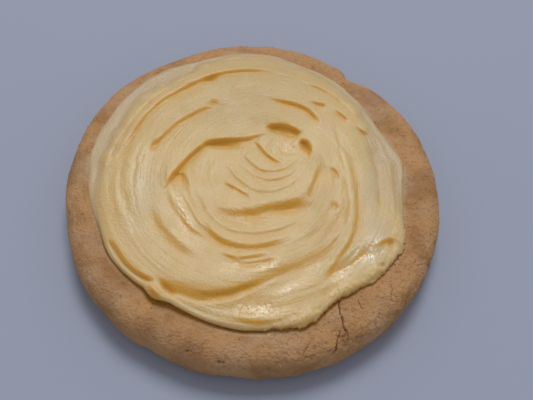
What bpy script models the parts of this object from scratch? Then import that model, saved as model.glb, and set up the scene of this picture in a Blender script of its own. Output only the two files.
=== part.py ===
"""A thick, soft lemon cookie, 100 mm across, spread with swirled lemon icing.

Units are metres and +Z is up. The cookie lies flat on the plane z = 0, centred on the origin, with the
side that faces the eater towards -Y. The crumb is a turned body with a wavy edge and a few cracks. The
icing is a turned lens whose top carries the strokes of the knife that spread it, each a smooth line
through a few points.
"""

import math
from collections import namedtuple

import bmesh
import bpy
import numpy as np
from mathutils import Vector

MM = 0.001

# The crumb
COOKIE_RADIUS = 50.3 * MM
COOKIE_HEIGHT = 13.0 * MM
DOME_DROP = 0.7 * MM
EDGE_WIDTH = 6.5 * MM
EDGE_WAIST = 5.2 * MM
FOOT_INSET = 4.0 * MM
EDGE_FULLNESS = 2.5
CRUMB_SEGMENTS = 112
CRUMB_TOP_RINGS = (0.0, 0.35, 0.65, 0.78, 0.86, 0.93)
CRUMB_EDGE_RINGS = 12
CRUMB_FOOT_RINGS = 2

# The cookie's outline is a circle with a few low waves and one nick: lobes, height, angle of one crest
COOKIE_WAVES = ((3, 0.15 * MM, 0.0), (5, 0.27 * MM, 17.7), (6, 0.17 * MM, -28.0))
NICK_ANGLE = 61.0
NICK_DEPTH = 2.1 * MM
NICK_WIDTHS = (6.0, 2.2)

# Dents and swells of the crumb's skin: size across, and height
CRUMB_SWELLS = ((10 * MM, 0.38 * MM), (4.5 * MM, 0.15 * MM))
BARE_FROM = 34.0 * MM

# The icing
GAP = 0.3 * MM
ICING_CENTRE = (-1.5 * MM, 1.3 * MM)
ICING_DEPTH = 3.4 * MM
ICING_SLOPE = 4.6 * MM
FILM_DEPTH = 0.35 * MM
FILM_SOFTNESS = 1.2 * MM
ICING_SEGMENTS = 120
ICING_TOP_RINGS = 34
ICING_UNDER_RINGS = (1.0, 0.95, 0.9, 0.84, 0.77, 0.5, 0.0)
# The icing's edge about its own centre: angle, and radius in mm
ICING_EDGE = (
    (-173, 42.2),
    (-163, 42.0),
    (-158, 41.4),
    (-151, 41.2),
    (-143, 41.8),
    (-137, 42.2),
    (-130, 42.0),
    (-124, 41.5),
    (-120, 41.3),
    (-117.5, 42.9),
    (-115.5, 42.6),
    (-113, 41.2),
    (-108, 41.4),
    (-98, 42.2),
    (-88, 42.9),
    (-78, 43.1),
    (-72, 43.4),
    (-66, 43.9),
    (-62, 43.4),
    (-57, 41.7),
    (-51, 40.9),
    (-43, 41.7),
    (-37, 42.6),
    (-31, 43.5),
    (-25, 43.9),
    (-18, 43.9),
    (-13, 42.7),
    (-8, 41.3),
    (-1, 40.7),
    (8, 41.5),
    (16, 42.2),
    (24, 40.4),
    (32, 39.7),
    (42, 40.0),
    (48, 40.8),
    (59, 41.8),
    (66, 42.1),
    (74, 42.0),
    (80, 42.4),
    (89, 43.2),
    (99, 43.0),
    (107, 42.7),
    (120, 42.3),
    (130, 43.2),
    (140, 43.4),
    (155, 43.1),
    (162, 42.6),
    (169, 42.9),
    (179, 43.0),
)

# The lip in front: the angle of its middle, its half width, and how high its rim stands
EDGE_RISES = (
    (-140, 12, 0.9 * MM),
    (-114, 14, 2.1 * MM),
    (-92, 14, 0.9 * MM),
    (-68, 16, 1.2 * MM),
    (-44, 18, 1.3 * MM),
    (-18, 12, 0.7 * MM),
)

# Round the edge the icing starts as a thin film: angle, and width in mm
FILM_WIDTHS = (
    (-180, 2.6),
    (-172, 1.7),
    (-163, 0.7),
    (-155, 0.1),
    (-145, 0.0),
    (-30, 0.0),
    (-16, 0.2),
    (-9, 0.4),
    (0, 0.6),
    (8, 1.2),
    (17, 2.6),
    (24, 1.6),
    (42, 0.9),
    (60, 1.0),
    (80, 0.9),
    (104, 0.8),
    (118, 1.4),
    (130, 3.6),
    (142, 3.4),
    (156, 2.4),
    (170, 3.2),
    (180, 2.6),
)

# A knife stroke: the points that its line passes through in mm, and how much it raises the icing on the left
# and on the right of the way along it. The rise dies away over its reach, face is half the width of the slope
# between the two sides, and the taper is the share of its length over which it sets in and dies out.
Stroke = namedtuple(
    "Stroke", "name points left right reach_left reach_right face taper", defaults=((0.3, 0.3),)
)
STROKES = (
    Stroke(
        "outer band",
        (
            (-38.1, -8.2), (-37.1, -1.0), (-35.9, 5.1), (-33.3, 12.2), (-30.4, 18.3),
            (-25.2, 24.7), (-16.8, 31.3), (-10.0, 34.5), (-1.0, 35.9), (7.0, 35.2),
        ),
        0.35, -0.65, 2.6, 6.0, 0.4, (0.35, 0.2),
    ),
    Stroke(
        "outer band, streak",
        (
            (-39.5, -6.6), (-38.5, 2.3), (-36.8, 9.5), (-33.6, 17.7), (-29.0, 25.0), (-24.5, 29.5),
        ),
        0.3, -0.4, 1.5, 1.5, 0.25,
    ),
    Stroke(
        "top edge, line",
        (
            (-16.3, 38.4), (-11.5, 40.2), (-6.2, 41.3), (-0.8, 41.7),
        ),
        0.35, -0.35, 1.5, 2.0, 0.25,
    ),
    Stroke(
        "top edge, right line",
        (
            (-1.2, 41.7), (3.0, 41.2), (6.7, 40.2), (9.9, 39.0),
        ),
        0.25, -0.25, 1.2, 1.5, 0.25,
    ),
    Stroke(
        "outer right line",
        (
            (7.8, 34.3), (12.4, 33.0), (16.3, 31.7), (19.9, 29.6), (23.5, 26.8), (26.7, 23.7),
        ),
        0.25, -0.4, 1.8, 2.5, 0.25,
    ),
    Stroke(
        "upper left step",
        (
            (-27.8, 6.0), (-26.7, 7.7), (-25.0, 10.6), (-22.7, 14.1), (-19.5, 17.3), (-15.6, 20.3),
            (-10.3, 22.4), (-4.2, 23.7),
        ),
        0.3, -0.6, 3.5, 6.0, 0.5, (0.08, 0.55),
    ),
    Stroke(
        "upper bank",
        (
            (-33.0, 4.0), (-29.5, 12.5), (-23.5, 20.5), (-14.5, 26.5), (-4.0, 29.5), (7.0, 29.0),
            (15.5, 26.0),
        ),
        0.4, -0.45, 5.0, 6.0, 4.0,
    ),
    Stroke(
        "upper right step",
        (
            (-1.7, 25.7), (1.7, 25.8), (4.5, 25.5), (7.2, 25.2), (10.0, 24.5), (12.1, 23.4),
            (13.9, 21.7), (15.9, 18.8),
        ),
        0.35, -0.8, 2.8, 4.0, 0.4, (0.45, 0.2),
    ),
    Stroke(
        "upper right nick",
        (
            (10.5, 26.5), (12.9, 26.7), (14.9, 26.3), (17.0, 26.4),
        ),
        0.25, -0.8, 1.5, 1.4, 0.35, (0.7, 0.2),
    ),
    Stroke(
        "right nick",
        (
            (18.7, 26.3), (20.5, 24.6), (22.3, 23.1), (24.4, 22.0),
        ),
        0.25, -0.8, 1.5, 1.6, 0.35, (0.5, 0.4),
    ),
    Stroke(
        "outer right nick",
        (
            (25.1, 21.8), (26.9, 20.2), (28.2, 19.5), (29.6, 19.8),
        ),
        0.2, -0.75, 1.2, 1.4, 0.3, (0.5, 0.3),
    ),
    Stroke(
        "eye, top lip",
        (
            (0.3, 15.6), (2.3, 16.7), (5.5, 17.2), (8.5, 16.5), (10.9, 15.0),
        ),
        0.45, -1.4, 2.8, 3.4, 0.4, (0.3, 0.15),
    ),
    Stroke(
        "eye, hook",
        (
            (10.1, 12.5), (11.4, 13.0), (12.7, 12.5), (13.5, 10.8), (13.7, 8.7), (13.1, 6.5),
        ),
        0.35, -1.1, 2.2, 1.8, 0.35, (0.15, 0.5),
    ),
    Stroke(
        "eye, curl",
        (
            (-2.4, 11.5), (-0.8, 10.2), (0.9, 8.2), (3.0, 6.5), (5.1, 5.3), (7.7, 4.9),
        ),
        0.3, -0.5, 2.5, 2.2, 0.22, (0.3, 0.35),
    ),
    Stroke(
        "eye, first ripple",
        (
            (-5.7, 8.2), (-3.2, 5.2), (0.7, 2.3), (4.9, 2.0), (8.3, 4.1), (11.1, 7.9),
        ),
        0.2, -0.28, 1.2, 1.4, 0.3,
    ),
    Stroke(
        "eye, second ripple",
        (
            (-6.5, 6.5), (-3.4, 2.0), (1.0, -0.4), (5.2, -0.7), (9.5, 2.1), (12.7, 6.9),
        ),
        0.18, -0.22, 1.2, 1.4, 0.3,
    ),
    Stroke(
        "eye, third ripple",
        (
            (-10.0, 5.4), (-7.4, 1.4), (-3.8, -2.3), (0.5, -4.6), (5.5, -4.2), (10.3, -0.8),
            (13.2, 3.9),
        ),
        0.2, -0.25, 1.4, 1.8, 0.35,
    ),
    Stroke(
        "crescent",
        (
            (-22.9, -9.3), (-22.7, -7.3), (-20.7, -1.9), (-18.0, 3.4), (-15.5, 6.9), (-13.6, 8.7),
            (-10.1, 9.9), (-6.5, 10.6), (-3.4, 11.4), (-0.4, 12.9), (3.6, 14.6),
        ),
        0.45, -1.0, 4.0, 6.0, 0.3, (0.2, 0.35),
    ),
    Stroke(
        "crescent, fold",
        (
            (-21.3, -4.2), (-20.2, -1.9), (-18.8, -1.7), (-17.4, -3.6), (-16.1, -7.0),
        ),
        0.25, -0.3, 1.2, 2.0, 0.25,
    ),
    Stroke(
        "heart, front",
        (
            (-14.1, -8.4), (-11.3, -10.3), (-8.2, -11.6), (-3.7, -11.7), (0.2, -10.9), (4.0, -9.3),
            (8.9, -7.5), (12.3, -5.7), (13.7, -4.5),
        ),
        0.8, -1.1, 5.0, 5.0, 1.3, (0.5, 0.1),
    ),
    Stroke(
        "heart, right",
        (
            (16.4, 7.8), (16.1, 4.9), (15.5, 1.8), (14.6, -2.0), (13.7, -5.4),
        ),
        -0.7, 0.5, 2.4, 3.5, 0.6, (0.35, 0.15),
    ),
    Stroke(
        "heart, line",
        (
            (-8.6, -3.1), (-5.6, -4.2), (-2.9, -5.6), (0.5, -7.3),
        ),
        0.3, -0.35, 2.0, 2.0, 0.2,
    ),
    Stroke(
        "left arm",
        (
            (-17.9, -0.5), (-15.3, -5.6), (-12.3, -10.4), (-9.2, -14.5), (-4.9, -17.0),
            (-0.0, -17.3), (4.8, -16.2), (10.4, -13.4), (16.0, -8.6),
        ),
        0.3, -0.3, 2.2, 2.2, 0.5,
    ),
    Stroke(
        "middle left arm",
        (
            (-20.3, -2.6), (-18.2, -7.6), (-15.2, -12.4), (-11.8, -16.6), (-7.0, -19.0),
        ),
        0.25, -0.32, 1.3, 1.5, 0.3,
    ),
    Stroke(
        "left arm, line",
        (
            (-19.2, -0.6), (-16.9, -6.4), (-13.8, -11.4), (-10.4, -15.6),
        ),
        0.2, -0.25, 0.9, 1.1, 0.22,
    ),
    Stroke(
        "outer left arm",
        (
            (-22.3, -5.9), (-20.2, -10.9), (-17.1, -15.0), (-13.1, -18.4), (-7.9, -20.7),
        ),
        0.25, -0.35, 2.2, 2.5, 0.5,
    ),
    Stroke(
        "second step",
        (
            (-12.5, -12.0), (-10.8, -15.8), (-8.1, -19.0), (-4.5, -20.7), (-0.0, -21.1),
            (3.8, -20.4), (7.5, -18.7), (12.7, -16.0),
        ),
        0.5, -0.8, 4.0, 3.5, 0.7,
    ),
    Stroke(
        "third step",
        (
            (-7.1, -22.8), (-4.0, -24.0), (-1.1, -24.2), (2.7, -23.2), (7.3, -21.6),
        ),
        0.4, -0.6, 2.0, 3.0, 0.4,
    ),
    Stroke(
        "third step, second line",
        (
            (-1.9, -25.4), (0.9, -25.2), (4.7, -24.1), (8.4, -23.0),
        ),
        0.3, -0.5, 1.2, 1.5, 0.3,
    ),
    Stroke(
        "valley",
        (
            (-25.4, -10.3), (-23.5, -15.2), (-20.7, -19.6), (-17.3, -22.6), (-13.1, -24.5),
            (-8.6, -25.5),
        ),
        0.4, -0.8, 5.0, 6.0, 1.3,
    ),
    Stroke(
        "lip groove",
        (
            (-34.0, -22.6), (-32.0, -24.8), (-29.7, -27.5), (-27.0, -29.9), (-23.7, -31.6),
            (-20.4, -32.6),
        ),
        0.3, -1.3, 2.5, 1.0, 0.28, (0.12, 0.15),
    ),
    Stroke(
        "great step",
        (
            (-19.6, -33.0), (-15.9, -34.2), (-11.5, -34.9), (-7.2, -34.6), (-2.6, -33.3),
            (2.5, -31.0), (7.5, -28.0), (12.1, -24.7), (16.8, -21.0), (20.5, -16.9), (22.8, -12.5),
        ),
        1.6, -1.7, 8.0, 4.5, 3.2, (0.08, 0.45),
    ),
    Stroke(
        "great step, foot",
        (
            (-19.8, -32.7), (-17.9, -34.5), (-14.3, -35.5), (-9.8, -36.4), (-6.0, -35.9),
            (-2.3, -34.7), (1.3, -32.8), (4.5, -30.8), (7.7, -28.7), (11.4, -26.3), (15.6, -22.9),
        ),
        -0.5, 0.3, 2.2, 1.4, 0.5, (0.06, 0.45),
    ),
    Stroke(
        "great step, fold in its face",
        (
            (-12.0, -34.5), (-8.2, -34.4), (-3.5, -33.4), (1.1, -31.3), (5.7, -28.7),
        ),
        0.5, -0.5, 1.5, 1.3, 0.35,
    ),
    Stroke(
        "ridge on the lip",
        (
            (-1.7, -39.4), (2.1, -39.8), (5.5, -39.8), (9.7, -38.6), (13.8, -36.5),
        ),
        0.3, -0.4, 1.2, 1.2, 0.35,
    ),
    Stroke(
        "right ridge",
        (
            (19.9, 16.2), (21.6, 13.5), (23.6, 9.9), (25.2, 4.4), (26.2, -1.7), (26.8, -7.7),
            (26.5, -12.1), (25.3, -16.3), (23.0, -20.8), (20.8, -25.3), (18.6, -29.3),
        ),
        -0.75, 0.45, 4.0, 1.8, 0.5,
    ),
    Stroke(
        "right ridge, inner side",
        (
            (21.1, 9.4), (22.8, 3.9), (24.2, -2.1), (24.6, -7.5), (24.1, -11.7), (22.6, -15.3),
            (20.9, -19.0),
        ),
        0.15, -0.5, 1.2, 2.5, 0.5,
    ),
    Stroke(
        "right ridge, second",
        (
            (17.7, 20.0), (20.0, 16.2), (21.3, 11.2), (22.5, 6.7), (23.4, 1.9),
        ),
        -0.25, 0.2, 1.5, 1.5, 0.3,
    ),
    Stroke(
        "right, short nick",
        (
            (19.2, 5.8), (20.3, 5.2), (21.4, 3.8), (22.0, 2.0),
        ),
        0.1, -0.5, 1.0, 1.0, 0.2,
    ),
    Stroke(
        "scraped side",
        (
            (25.5, 22.1), (29.7, 15.9), (31.6, 9.0), (32.6, 1.6), (32.9, -5.1), (32.3, -10.6),
        ),
        -1.3, -1.3, 4.5, 4.5, 0.4,
    ),
    Stroke(
        "right edge, ridge",
        (
            (34.7, 14.3), (35.6, 9.2), (36.2, 3.6), (36.7, -1.9), (37.0, -7.9),
        ),
        0.5, 0.5, 1.0, 1.2, 0.3,
    ),
    Stroke(
        "right edge, outer ridge",
        (
            (38.4, 11.2), (39.0, 6.1), (39.0, -0.1), (38.8, -5.0), (38.8, -9.8), (39.8, -13.1),
        ),
        0.35, 0.35, 0.8, 0.9, 0.3,
    ),
    Stroke(
        "mound, back",
        (
            (32.2, -16.6), (33.9, -14.5), (35.9, -13.2), (38.5, -12.9),
        ),
        0.4, -0.3, 1.5, 3.0, 0.35,
    ),
    Stroke(
        "torn ridge",
        (
            (38.7, -14.7), (37.7, -18.5), (35.6, -21.6), (32.7, -24.3), (29.4, -26.8),
            (26.5, -29.0), (23.2, -31.1), (20.2, -33.1),
        ),
        0.55, 0.6, 2.4, 4.2, 0.6, (0.15, 0.35),
    ),
    Stroke(
        "trough before the ridge",
        (
            (31.8, -14.4), (29.3, -18.4), (26.0, -21.6), (22.0, -24.6), (17.5, -28.0),
        ),
        -0.8, -0.8, 2.8, 2.6, 0.9,
    ),
)
STROKE_STEPS = 4
STROKE_BLEND = 0.3 * MM
# The narrowest face that the mesh can carry without a ragged edge, in mm
NARROWEST_FACE = 0.8

# The narrowest dab that the mesh can carry, in mm
NARROWEST_DAB = 1.2
Dab = namedtuple("Dab", "name place size turn rise")
DABS = (
    Dab("fold over the lip", (-19.8, -35.8), (2.6, 0.65), -48, 1.5),
    Dab("hollow behind the fold", (-17.6, -34.0), (2.2, 0.7), -35, -1.2),
    Dab("inside of the lip's bowl", (4.5, -35.4), (7.0, 1.7), 8, -0.3),
    Dab("rim of the lip's bowl", (6.0, -38.8), (7.0, 1.3), 5, 0.25),
    Dab("dab on the third step", (-1.8, -24.6), (1.1, 0.8), 0, 0.6),
    Dab("dab on the film", (-30.8, 28.0), (1.6, 1.2), 40, 0.9),
    Dab("nick in the outer band", (-16.5, 30.9), (2.0, 0.8), 25, -0.8),
    Dab("nick in the upper step", (-14.2, 22.2), (1.3, 0.9), 20, -0.7),
    Dab("end of the upper step", (-27.7, 5.8), (1.8, 1.0), 65, -0.7),
    Dab("thick part of the crescent", (-9.8, 8.6), (4.4, 0.9), 4, -0.8),
    Dab("thick part of the eye's lip", (5.8, 15.4), (3.6, 1.0), -10, -0.9),
    Dab("thick part of the hook", (12.1, 11.5), (1.6, 1.0), -55, -1.0),
    Dab("deep end of the heart's front", (9.8, -8.6), (4.0, 1.2), 17, -0.5),
    Dab("pit on the right", (21.3, -6.0), (0.8, 1.2), 20, -0.5),
    Dab("shallow on the right", (20.0, -9.0), (4.0, 3.0), 0, -0.5),
    Dab("pit at the end of the mound", (36.2, -14.6), (0.8, 1.2), 10, -0.6),
    Dab("end of the torn ridge", (17.0, -37.0), (2.2, 1.6), 30, 0.6),
    Dab("pit in the torn ridge", (34.6, -20.7), (0.8, 0.8), 0, -0.8),
    Dab("hollow of the eye", (6.8, 8.8), (4.5, 3.5), 70, -0.5),
)

# Ridges along the knife's way: distance apart, and height
STREAKS = ((3.6 * MM, 0.13 * MM),)
# The knife's way is a family of circles: the middle of the smallest, and of all from FLOW_FULL on
FLOW_EYE = (9 * MM, 11 * MM)
FLOW_WHOLE = (-1 * MM, 0 * MM)
FLOW_FULL = 20 * MM

# Cracks in the crumb: points from the icing outwards in millimetres, the width at the skin, and the depth
Crack = namedtuple("Crack", "name points width depth")
CRACKS = (
    Crack("long crack", ((24.6, -32.4), (25.2, -34.7), (26.1, -37.6), (27.2, -39.6)), 0.7, 1.6),
    Crack("outer crack", ((25.1, -38.6), (24.6, -41.4), (23.9, -43.6)), 0.6, 1.4),
    Crack("front crack", ((18.5, -41.3), (17.3, -44.0)), 0.45, 1.0),
    Crack("right crack", ((37.1, -24.5), (36.9, -27.6), (37.6, -29.2)), 0.5, 1.2),
)

# Pits in the crumb's skin, in millimetres: place, and radius
PITS = (((39.4, -17.8), 0.6), ((38.5, -20.0), 0.5), ((-2.2, -48.3), 0.9), ((-10.2, -47.0), 0.7))

CRUMB_COLOUR = (0.50, 0.29, 0.135, 1.0)
ICING_COLOUR = (0.80, 0.62, 0.31, 1.0)


def ease(t):
    """0 up to 0, 1 from 1 on, smooth between."""
    t = np.clip(t, 0, 1)
    return t * t * (3 - 2 * t)


def crest(degrees_off, lobes):
    """One lobed wave, 1 on its crest."""
    return np.cos(np.radians(lobes * degrees_off))


def apart(angle, middle):
    """Degrees from the middle, between -180 and 180."""
    return (angle - middle + 180) % 360 - 180


def bulge(angle, middle, half_width):
    """A smooth bump round an angle, 1 in the middle and about a third at its half width."""
    return np.exp(-((apart(angle, middle) / half_width) ** 2))


def rough(x, y, z, size, seed):
    """Smooth noise from -1 to 1 whose bumps are about as wide as size. Each seed is another pattern."""
    cells = 40
    draw = np.random.default_rng(seed)
    table = draw.uniform(-1, 1, (cells, cells, cells))
    turn = np.linalg.qr(draw.normal(size=(3, 3)))[0]
    places = np.stack(np.broadcast_arrays(x, y, z), axis=-1) / size @ turn + 1000
    cell = np.floor(places).astype(int)
    part = places - cell
    part = part * part * part * (part * (part * 6 - 15) + 10)
    total = 0
    for corner in range(8):
        step = np.array([corner & 1, corner >> 1 & 1, corner >> 2 & 1])
        share = np.where(step, part, 1 - part).prod(axis=-1)
        at = (cell + step) % cells
        total = total + share * table[at[..., 0], at[..., 1], at[..., 2]]
    return total


def cookie_edge(angle):
    """The cookie's radius at an angle in degrees."""
    radius = COOKIE_RADIUS + sum(height * crest(angle - at, lobes) for lobes, height, at in COOKIE_WAVES)
    off = apart(angle, NICK_ANGLE)
    width = np.where(off < 0, NICK_WIDTHS[0], NICK_WIDTHS[1])
    return radius - NICK_DEPTH * np.exp(-((off / width) ** 2))


def icing_edge(angle):
    """The icing's radius about its own centre at an angle in degrees."""
    at, radii = zip(*ICING_EDGE)
    return sum(np.interp(angle + step, at, radii, period=360) for step in (-2, 0, 2)) / 3 * MM


def edge_rise(angle):
    """How high the icing's rim stands over the crumb."""
    return sum(height * bulge(angle, at, half) for at, half, height in EDGE_RISES)


def crumb_swell(x, y, z):
    """The dents and swells of the bare skin. They die away under the icing."""
    bare = ease((np.hypot(x, y) - BARE_FROM) / (6 * MM))
    return bare * sum(height * rough(x, y, z, size, seed) for seed, (size, height) in enumerate(CRUMB_SWELLS))


def crumb_top(x, y):
    """The height of the crumb's upper skin above the floor."""
    radius = np.hypot(x, y)
    turned = radius * COOKIE_RADIUS / cookie_edge(np.degrees(np.arctan2(y, x)))
    flat = COOKIE_RADIUS - EDGE_WIDTH
    height = COOKIE_HEIGHT - DOME_DROP * (turned / COOKIE_RADIUS) ** 2
    over = np.clip((turned - flat) / EDGE_WIDTH, 0, 1)
    fall = 1 - (1 - over**EDGE_FULLNESS) ** (1 / EDGE_FULLNESS)
    even = height - (height - EDGE_WAIST) * fall
    return even + crumb_swell(x, y, even)


def smooth_line(points):
    """Close points on a smooth curve that passes through a stroke's own."""
    own = np.array(points) * MM
    padded = np.vstack([2 * own[0] - own[1], own, 2 * own[-1] - own[-2]])
    line = []
    for before, start, end, after in zip(padded, padded[1:], padded[2:], padded[3:]):
        for step in range(STROKE_STEPS):
            t = step / STROKE_STEPS
            bend = 2 * before - 5 * start + 4 * end - after
            twist = 3 * (start - end) + after - before
            line.append(start + 0.5 * t * (end - before + t * (bend + t * twist)))
    return np.array(line + [own[-1]])


def stroke_relief(stroke, x, y):
    """How much one stroke raises or lowers the icing, as the mean over its pieces, where near ones count most."""
    line = smooth_line(stroke.points)
    ways = np.diff(line, axis=0)
    lengths = np.hypot(*ways.T)
    passed = np.concatenate([[0], np.cumsum(lengths)])
    margin = 4 * max(stroke.reach_left, stroke.reach_right) * MM
    low, high = line.min(axis=0) - margin, line.max(axis=0) + margin
    near = (x > low[0]) & (x < high[0]) & (y > low[1]) & (y < high[1])
    near_x, near_y = x[near], y[near]
    total = np.zeros(near_x.shape)
    weights = np.zeros(near_x.shape)
    for start, way, length, before in zip(line, ways, lengths, passed):
        off_x, off_y = near_x - start[0], near_y - start[1]
        share = np.clip((off_x * way[0] + off_y * way[1]) / length**2, 0, 1)
        gap_x, gap_y = off_x - share * way[0], off_y - share * way[1]
        gap = np.hypot(gap_x, gap_y)
        left = np.sign(way[0] * gap_y - way[1] * gap_x) * gap
        lean = 0.5 + 0.5 * np.tanh(left / (max(stroke.face, NARROWEST_FACE) * MM))
        rise_left = stroke.left * np.exp(-np.maximum(left, 0) / (stroke.reach_left * MM))
        rise_right = stroke.right * np.exp(np.minimum(left, 0) / (stroke.reach_right * MM))
        along = (before + share * length) / passed[-1]
        window = ease(along / stroke.taper[0]) * ease((1 - along) / stroke.taper[1])
        closeness = 1 / (gap**2 + STROKE_BLEND**2)
        weight = length * closeness * closeness * closeness
        total += weight * window * (lean * rise_left + (1 - lean) * rise_right)
        weights += weight
    relief = np.zeros(np.shape(x))
    relief[near] = total / weights * MM
    return relief


def dab_share(dab, x, y):
    """A soft oval bump as high as the dab's rise."""
    turn = math.radians(dab.turn)
    off_x = x - dab.place[0] * MM
    off_y = y - dab.place[1] * MM
    along = (off_x * math.cos(turn) + off_y * math.sin(turn)) / (max(dab.size[0], NARROWEST_DAB) * MM)
    across = (off_y * math.cos(turn) - off_x * math.sin(turn)) / (max(dab.size[1], NARROWEST_DAB) * MM)
    return dab.rise * np.exp(-(along**2) - across**2)


def film_width(angle):
    """How broad the thin film at the icing's edge is."""
    at, width = zip(*FILM_WIDTHS)
    return np.interp(angle, at, width) * MM


def flow(x, y):
    """Coordinates that follow the knife round the swirl: distance from its middle, and two round it."""
    off_x, off_y = x - FLOW_EYE[0], y - FLOW_EYE[1]
    shift_x = (FLOW_WHOLE[0] - FLOW_EYE[0]) / FLOW_FULL
    shift_y = (FLOW_WHOLE[1] - FLOW_EYE[1]) / FLOW_FULL
    # The circle through the place, whose middle moves from the eye as its radius grows
    along = off_x * shift_x + off_y * shift_y
    spare = 1 - shift_x**2 - shift_y**2
    near = (np.sqrt(along**2 + spare * (off_x**2 + off_y**2)) - along) / spare
    radius = np.where(near < FLOW_FULL, near, np.hypot(x - FLOW_WHOLE[0], y - FLOW_WHOLE[1]))
    share = np.minimum(radius / FLOW_FULL, 1)
    turn = np.arctan2(off_y - share * shift_y * FLOW_FULL, off_x - share * shift_x * FLOW_FULL)
    slow = np.minimum(9 * MM, radius)
    return radius, slow * np.cos(turn), slow * np.sin(turn)


def streak_relief(x, y):
    """Low ridges that follow the knife round the swirl."""
    radius, round_x, round_y = flow(x, y)
    return sum(
        height * rough(radius, round_x / 3, round_y / 3, size, 32 + seed)
        for seed, (size, height) in enumerate(STREAKS)
    )


def icing_depth(x, y):
    """How thick the icing is at a place inside its edge."""
    off_x = x - ICING_CENTRE[0]
    off_y = y - ICING_CENTRE[1]
    angle = np.degrees(np.arctan2(off_y, off_x))
    inside = np.maximum(icing_edge(angle) - np.hypot(off_x, off_y), 0)
    # The icing rises softly from a broad film, and at once where there is none
    film = film_width(angle)
    soft = FILM_SOFTNESS * ease(film / (1.5 * MM))
    within = np.hypot(np.maximum(inside - film, 0), soft) - soft
    rise = edge_rise(angle)
    body = (ICING_DEPTH - rise - FILM_DEPTH) * (1 - np.exp(-within / ICING_SLOPE))
    lip = rise * (1 - np.exp(-inside / (0.5 * MM)))
    relief = sum(stroke_relief(stroke, x, y) for stroke in STROKES)
    relief = relief + sum(dab_share(dab, x, y) for dab in DABS) * MM + streak_relief(x, y)
    settle = ease(within / (2 * MM))
    edge = ease(inside / (1.5 * MM))
    return np.maximum(FILM_DEPTH + body + lip + relief * settle, FILM_DEPTH * (0.6 + 0.4 * edge))


def points_of(mesh):
    """The mesh's vertices as an array with a row for each."""
    found = np.empty(len(mesh.vertices) * 3)
    mesh.vertices.foreach_get("co", found)
    return found.reshape(-1, 3)


def move_points(mesh, points):
    mesh.vertices.foreach_set("co", points.ravel())
    mesh.update()


def turned_mesh(name, profile, segments):
    """A closed body turned about +Z by a Screw modifier from a profile that starts and ends on the axis."""
    shape = bmesh.new()
    corners = [shape.verts.new((radius, 0, height)) for radius, height in profile]
    for pair in zip(corners, corners[1:]):
        shape.edges.new(pair)
    mesh = bpy.data.meshes.new(name)
    shape.to_mesh(mesh)
    shape.free()
    outline = bpy.data.objects.new(name + " profile", mesh)
    bpy.context.scene.collection.objects.link(outline)
    turn = outline.modifiers.new("turn", "SCREW")
    turn.axis = "Z"
    turn.angle = math.tau
    turn.steps = segments
    turn.render_steps = segments
    turn.use_merge_vertices = True
    turn.merge_threshold = 0.001 * MM
    turn.use_smooth_shade = True
    depsgraph = bpy.context.evaluated_depsgraph_get()
    made = bpy.data.meshes.new_from_object(outline.evaluated_get(depsgraph))
    made.name = name
    bpy.data.objects.remove(outline)
    bpy.data.meshes.remove(mesh)
    return close_up(made)


def close_up(mesh):
    """Triangles throughout, with their fronts outwards."""
    shape = bmesh.new()
    shape.from_mesh(mesh)
    bmesh.ops.triangulate(shape, faces=shape.faces)
    bmesh.ops.recalc_face_normals(shape, faces=shape.faces)
    shape.to_mesh(mesh)
    shape.free()
    return mesh


def crumb_profile():
    """The crumb's half section, from the middle of its top round the edge to the middle of its foot."""
    flat = COOKIE_RADIUS - EDGE_WIDTH
    power = 2 / EDGE_FULLNESS
    points = [(flat * share, COOKIE_HEIGHT) for share in CRUMB_TOP_RINGS]
    for ring in range(CRUMB_EDGE_RINGS + 1):
        turn = math.pi / 2 - math.pi * ring / CRUMB_EDGE_RINGS
        out, up = math.cos(turn) ** power if abs(turn) < 1.57 else 0.0, math.sin(turn)
        if up >= 0:
            points.append((flat + EDGE_WIDTH * out, EDGE_WAIST + (COOKIE_HEIGHT - EDGE_WAIST) * up**power))
        else:
            points.append((COOKIE_RADIUS - FOOT_INSET * (1 - out), EDGE_WAIST * (1 - (-up) ** power)))
    foot = points[-1][0]
    points += [(foot * (1 - ring / CRUMB_FOOT_RINGS), 0.0) for ring in range(1, CRUMB_FOOT_RINGS + 1)]
    return points


def shape_crumb(mesh):
    """Gives the turned body its outline, its dome and the swells of its skin."""
    points = points_of(mesh)
    x, y, z = points.T
    angle = np.degrees(np.arctan2(y, x))
    spread = cookie_edge(angle) / COOKIE_RADIUS
    turned = np.hypot(x, y)
    upper = ease((z - EDGE_WAIST) / (COOKIE_HEIGHT - EDGE_WAIST))
    x, y = x * spread, y * spread
    dome = DOME_DROP * (turned / COOKIE_RADIUS) ** 2
    skin = ease(z / (3 * MM))
    z = z - dome * upper
    z = z + crumb_swell(x, y, z) * skin
    move_points(mesh, np.stack([x, y, z], axis=1))


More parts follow.
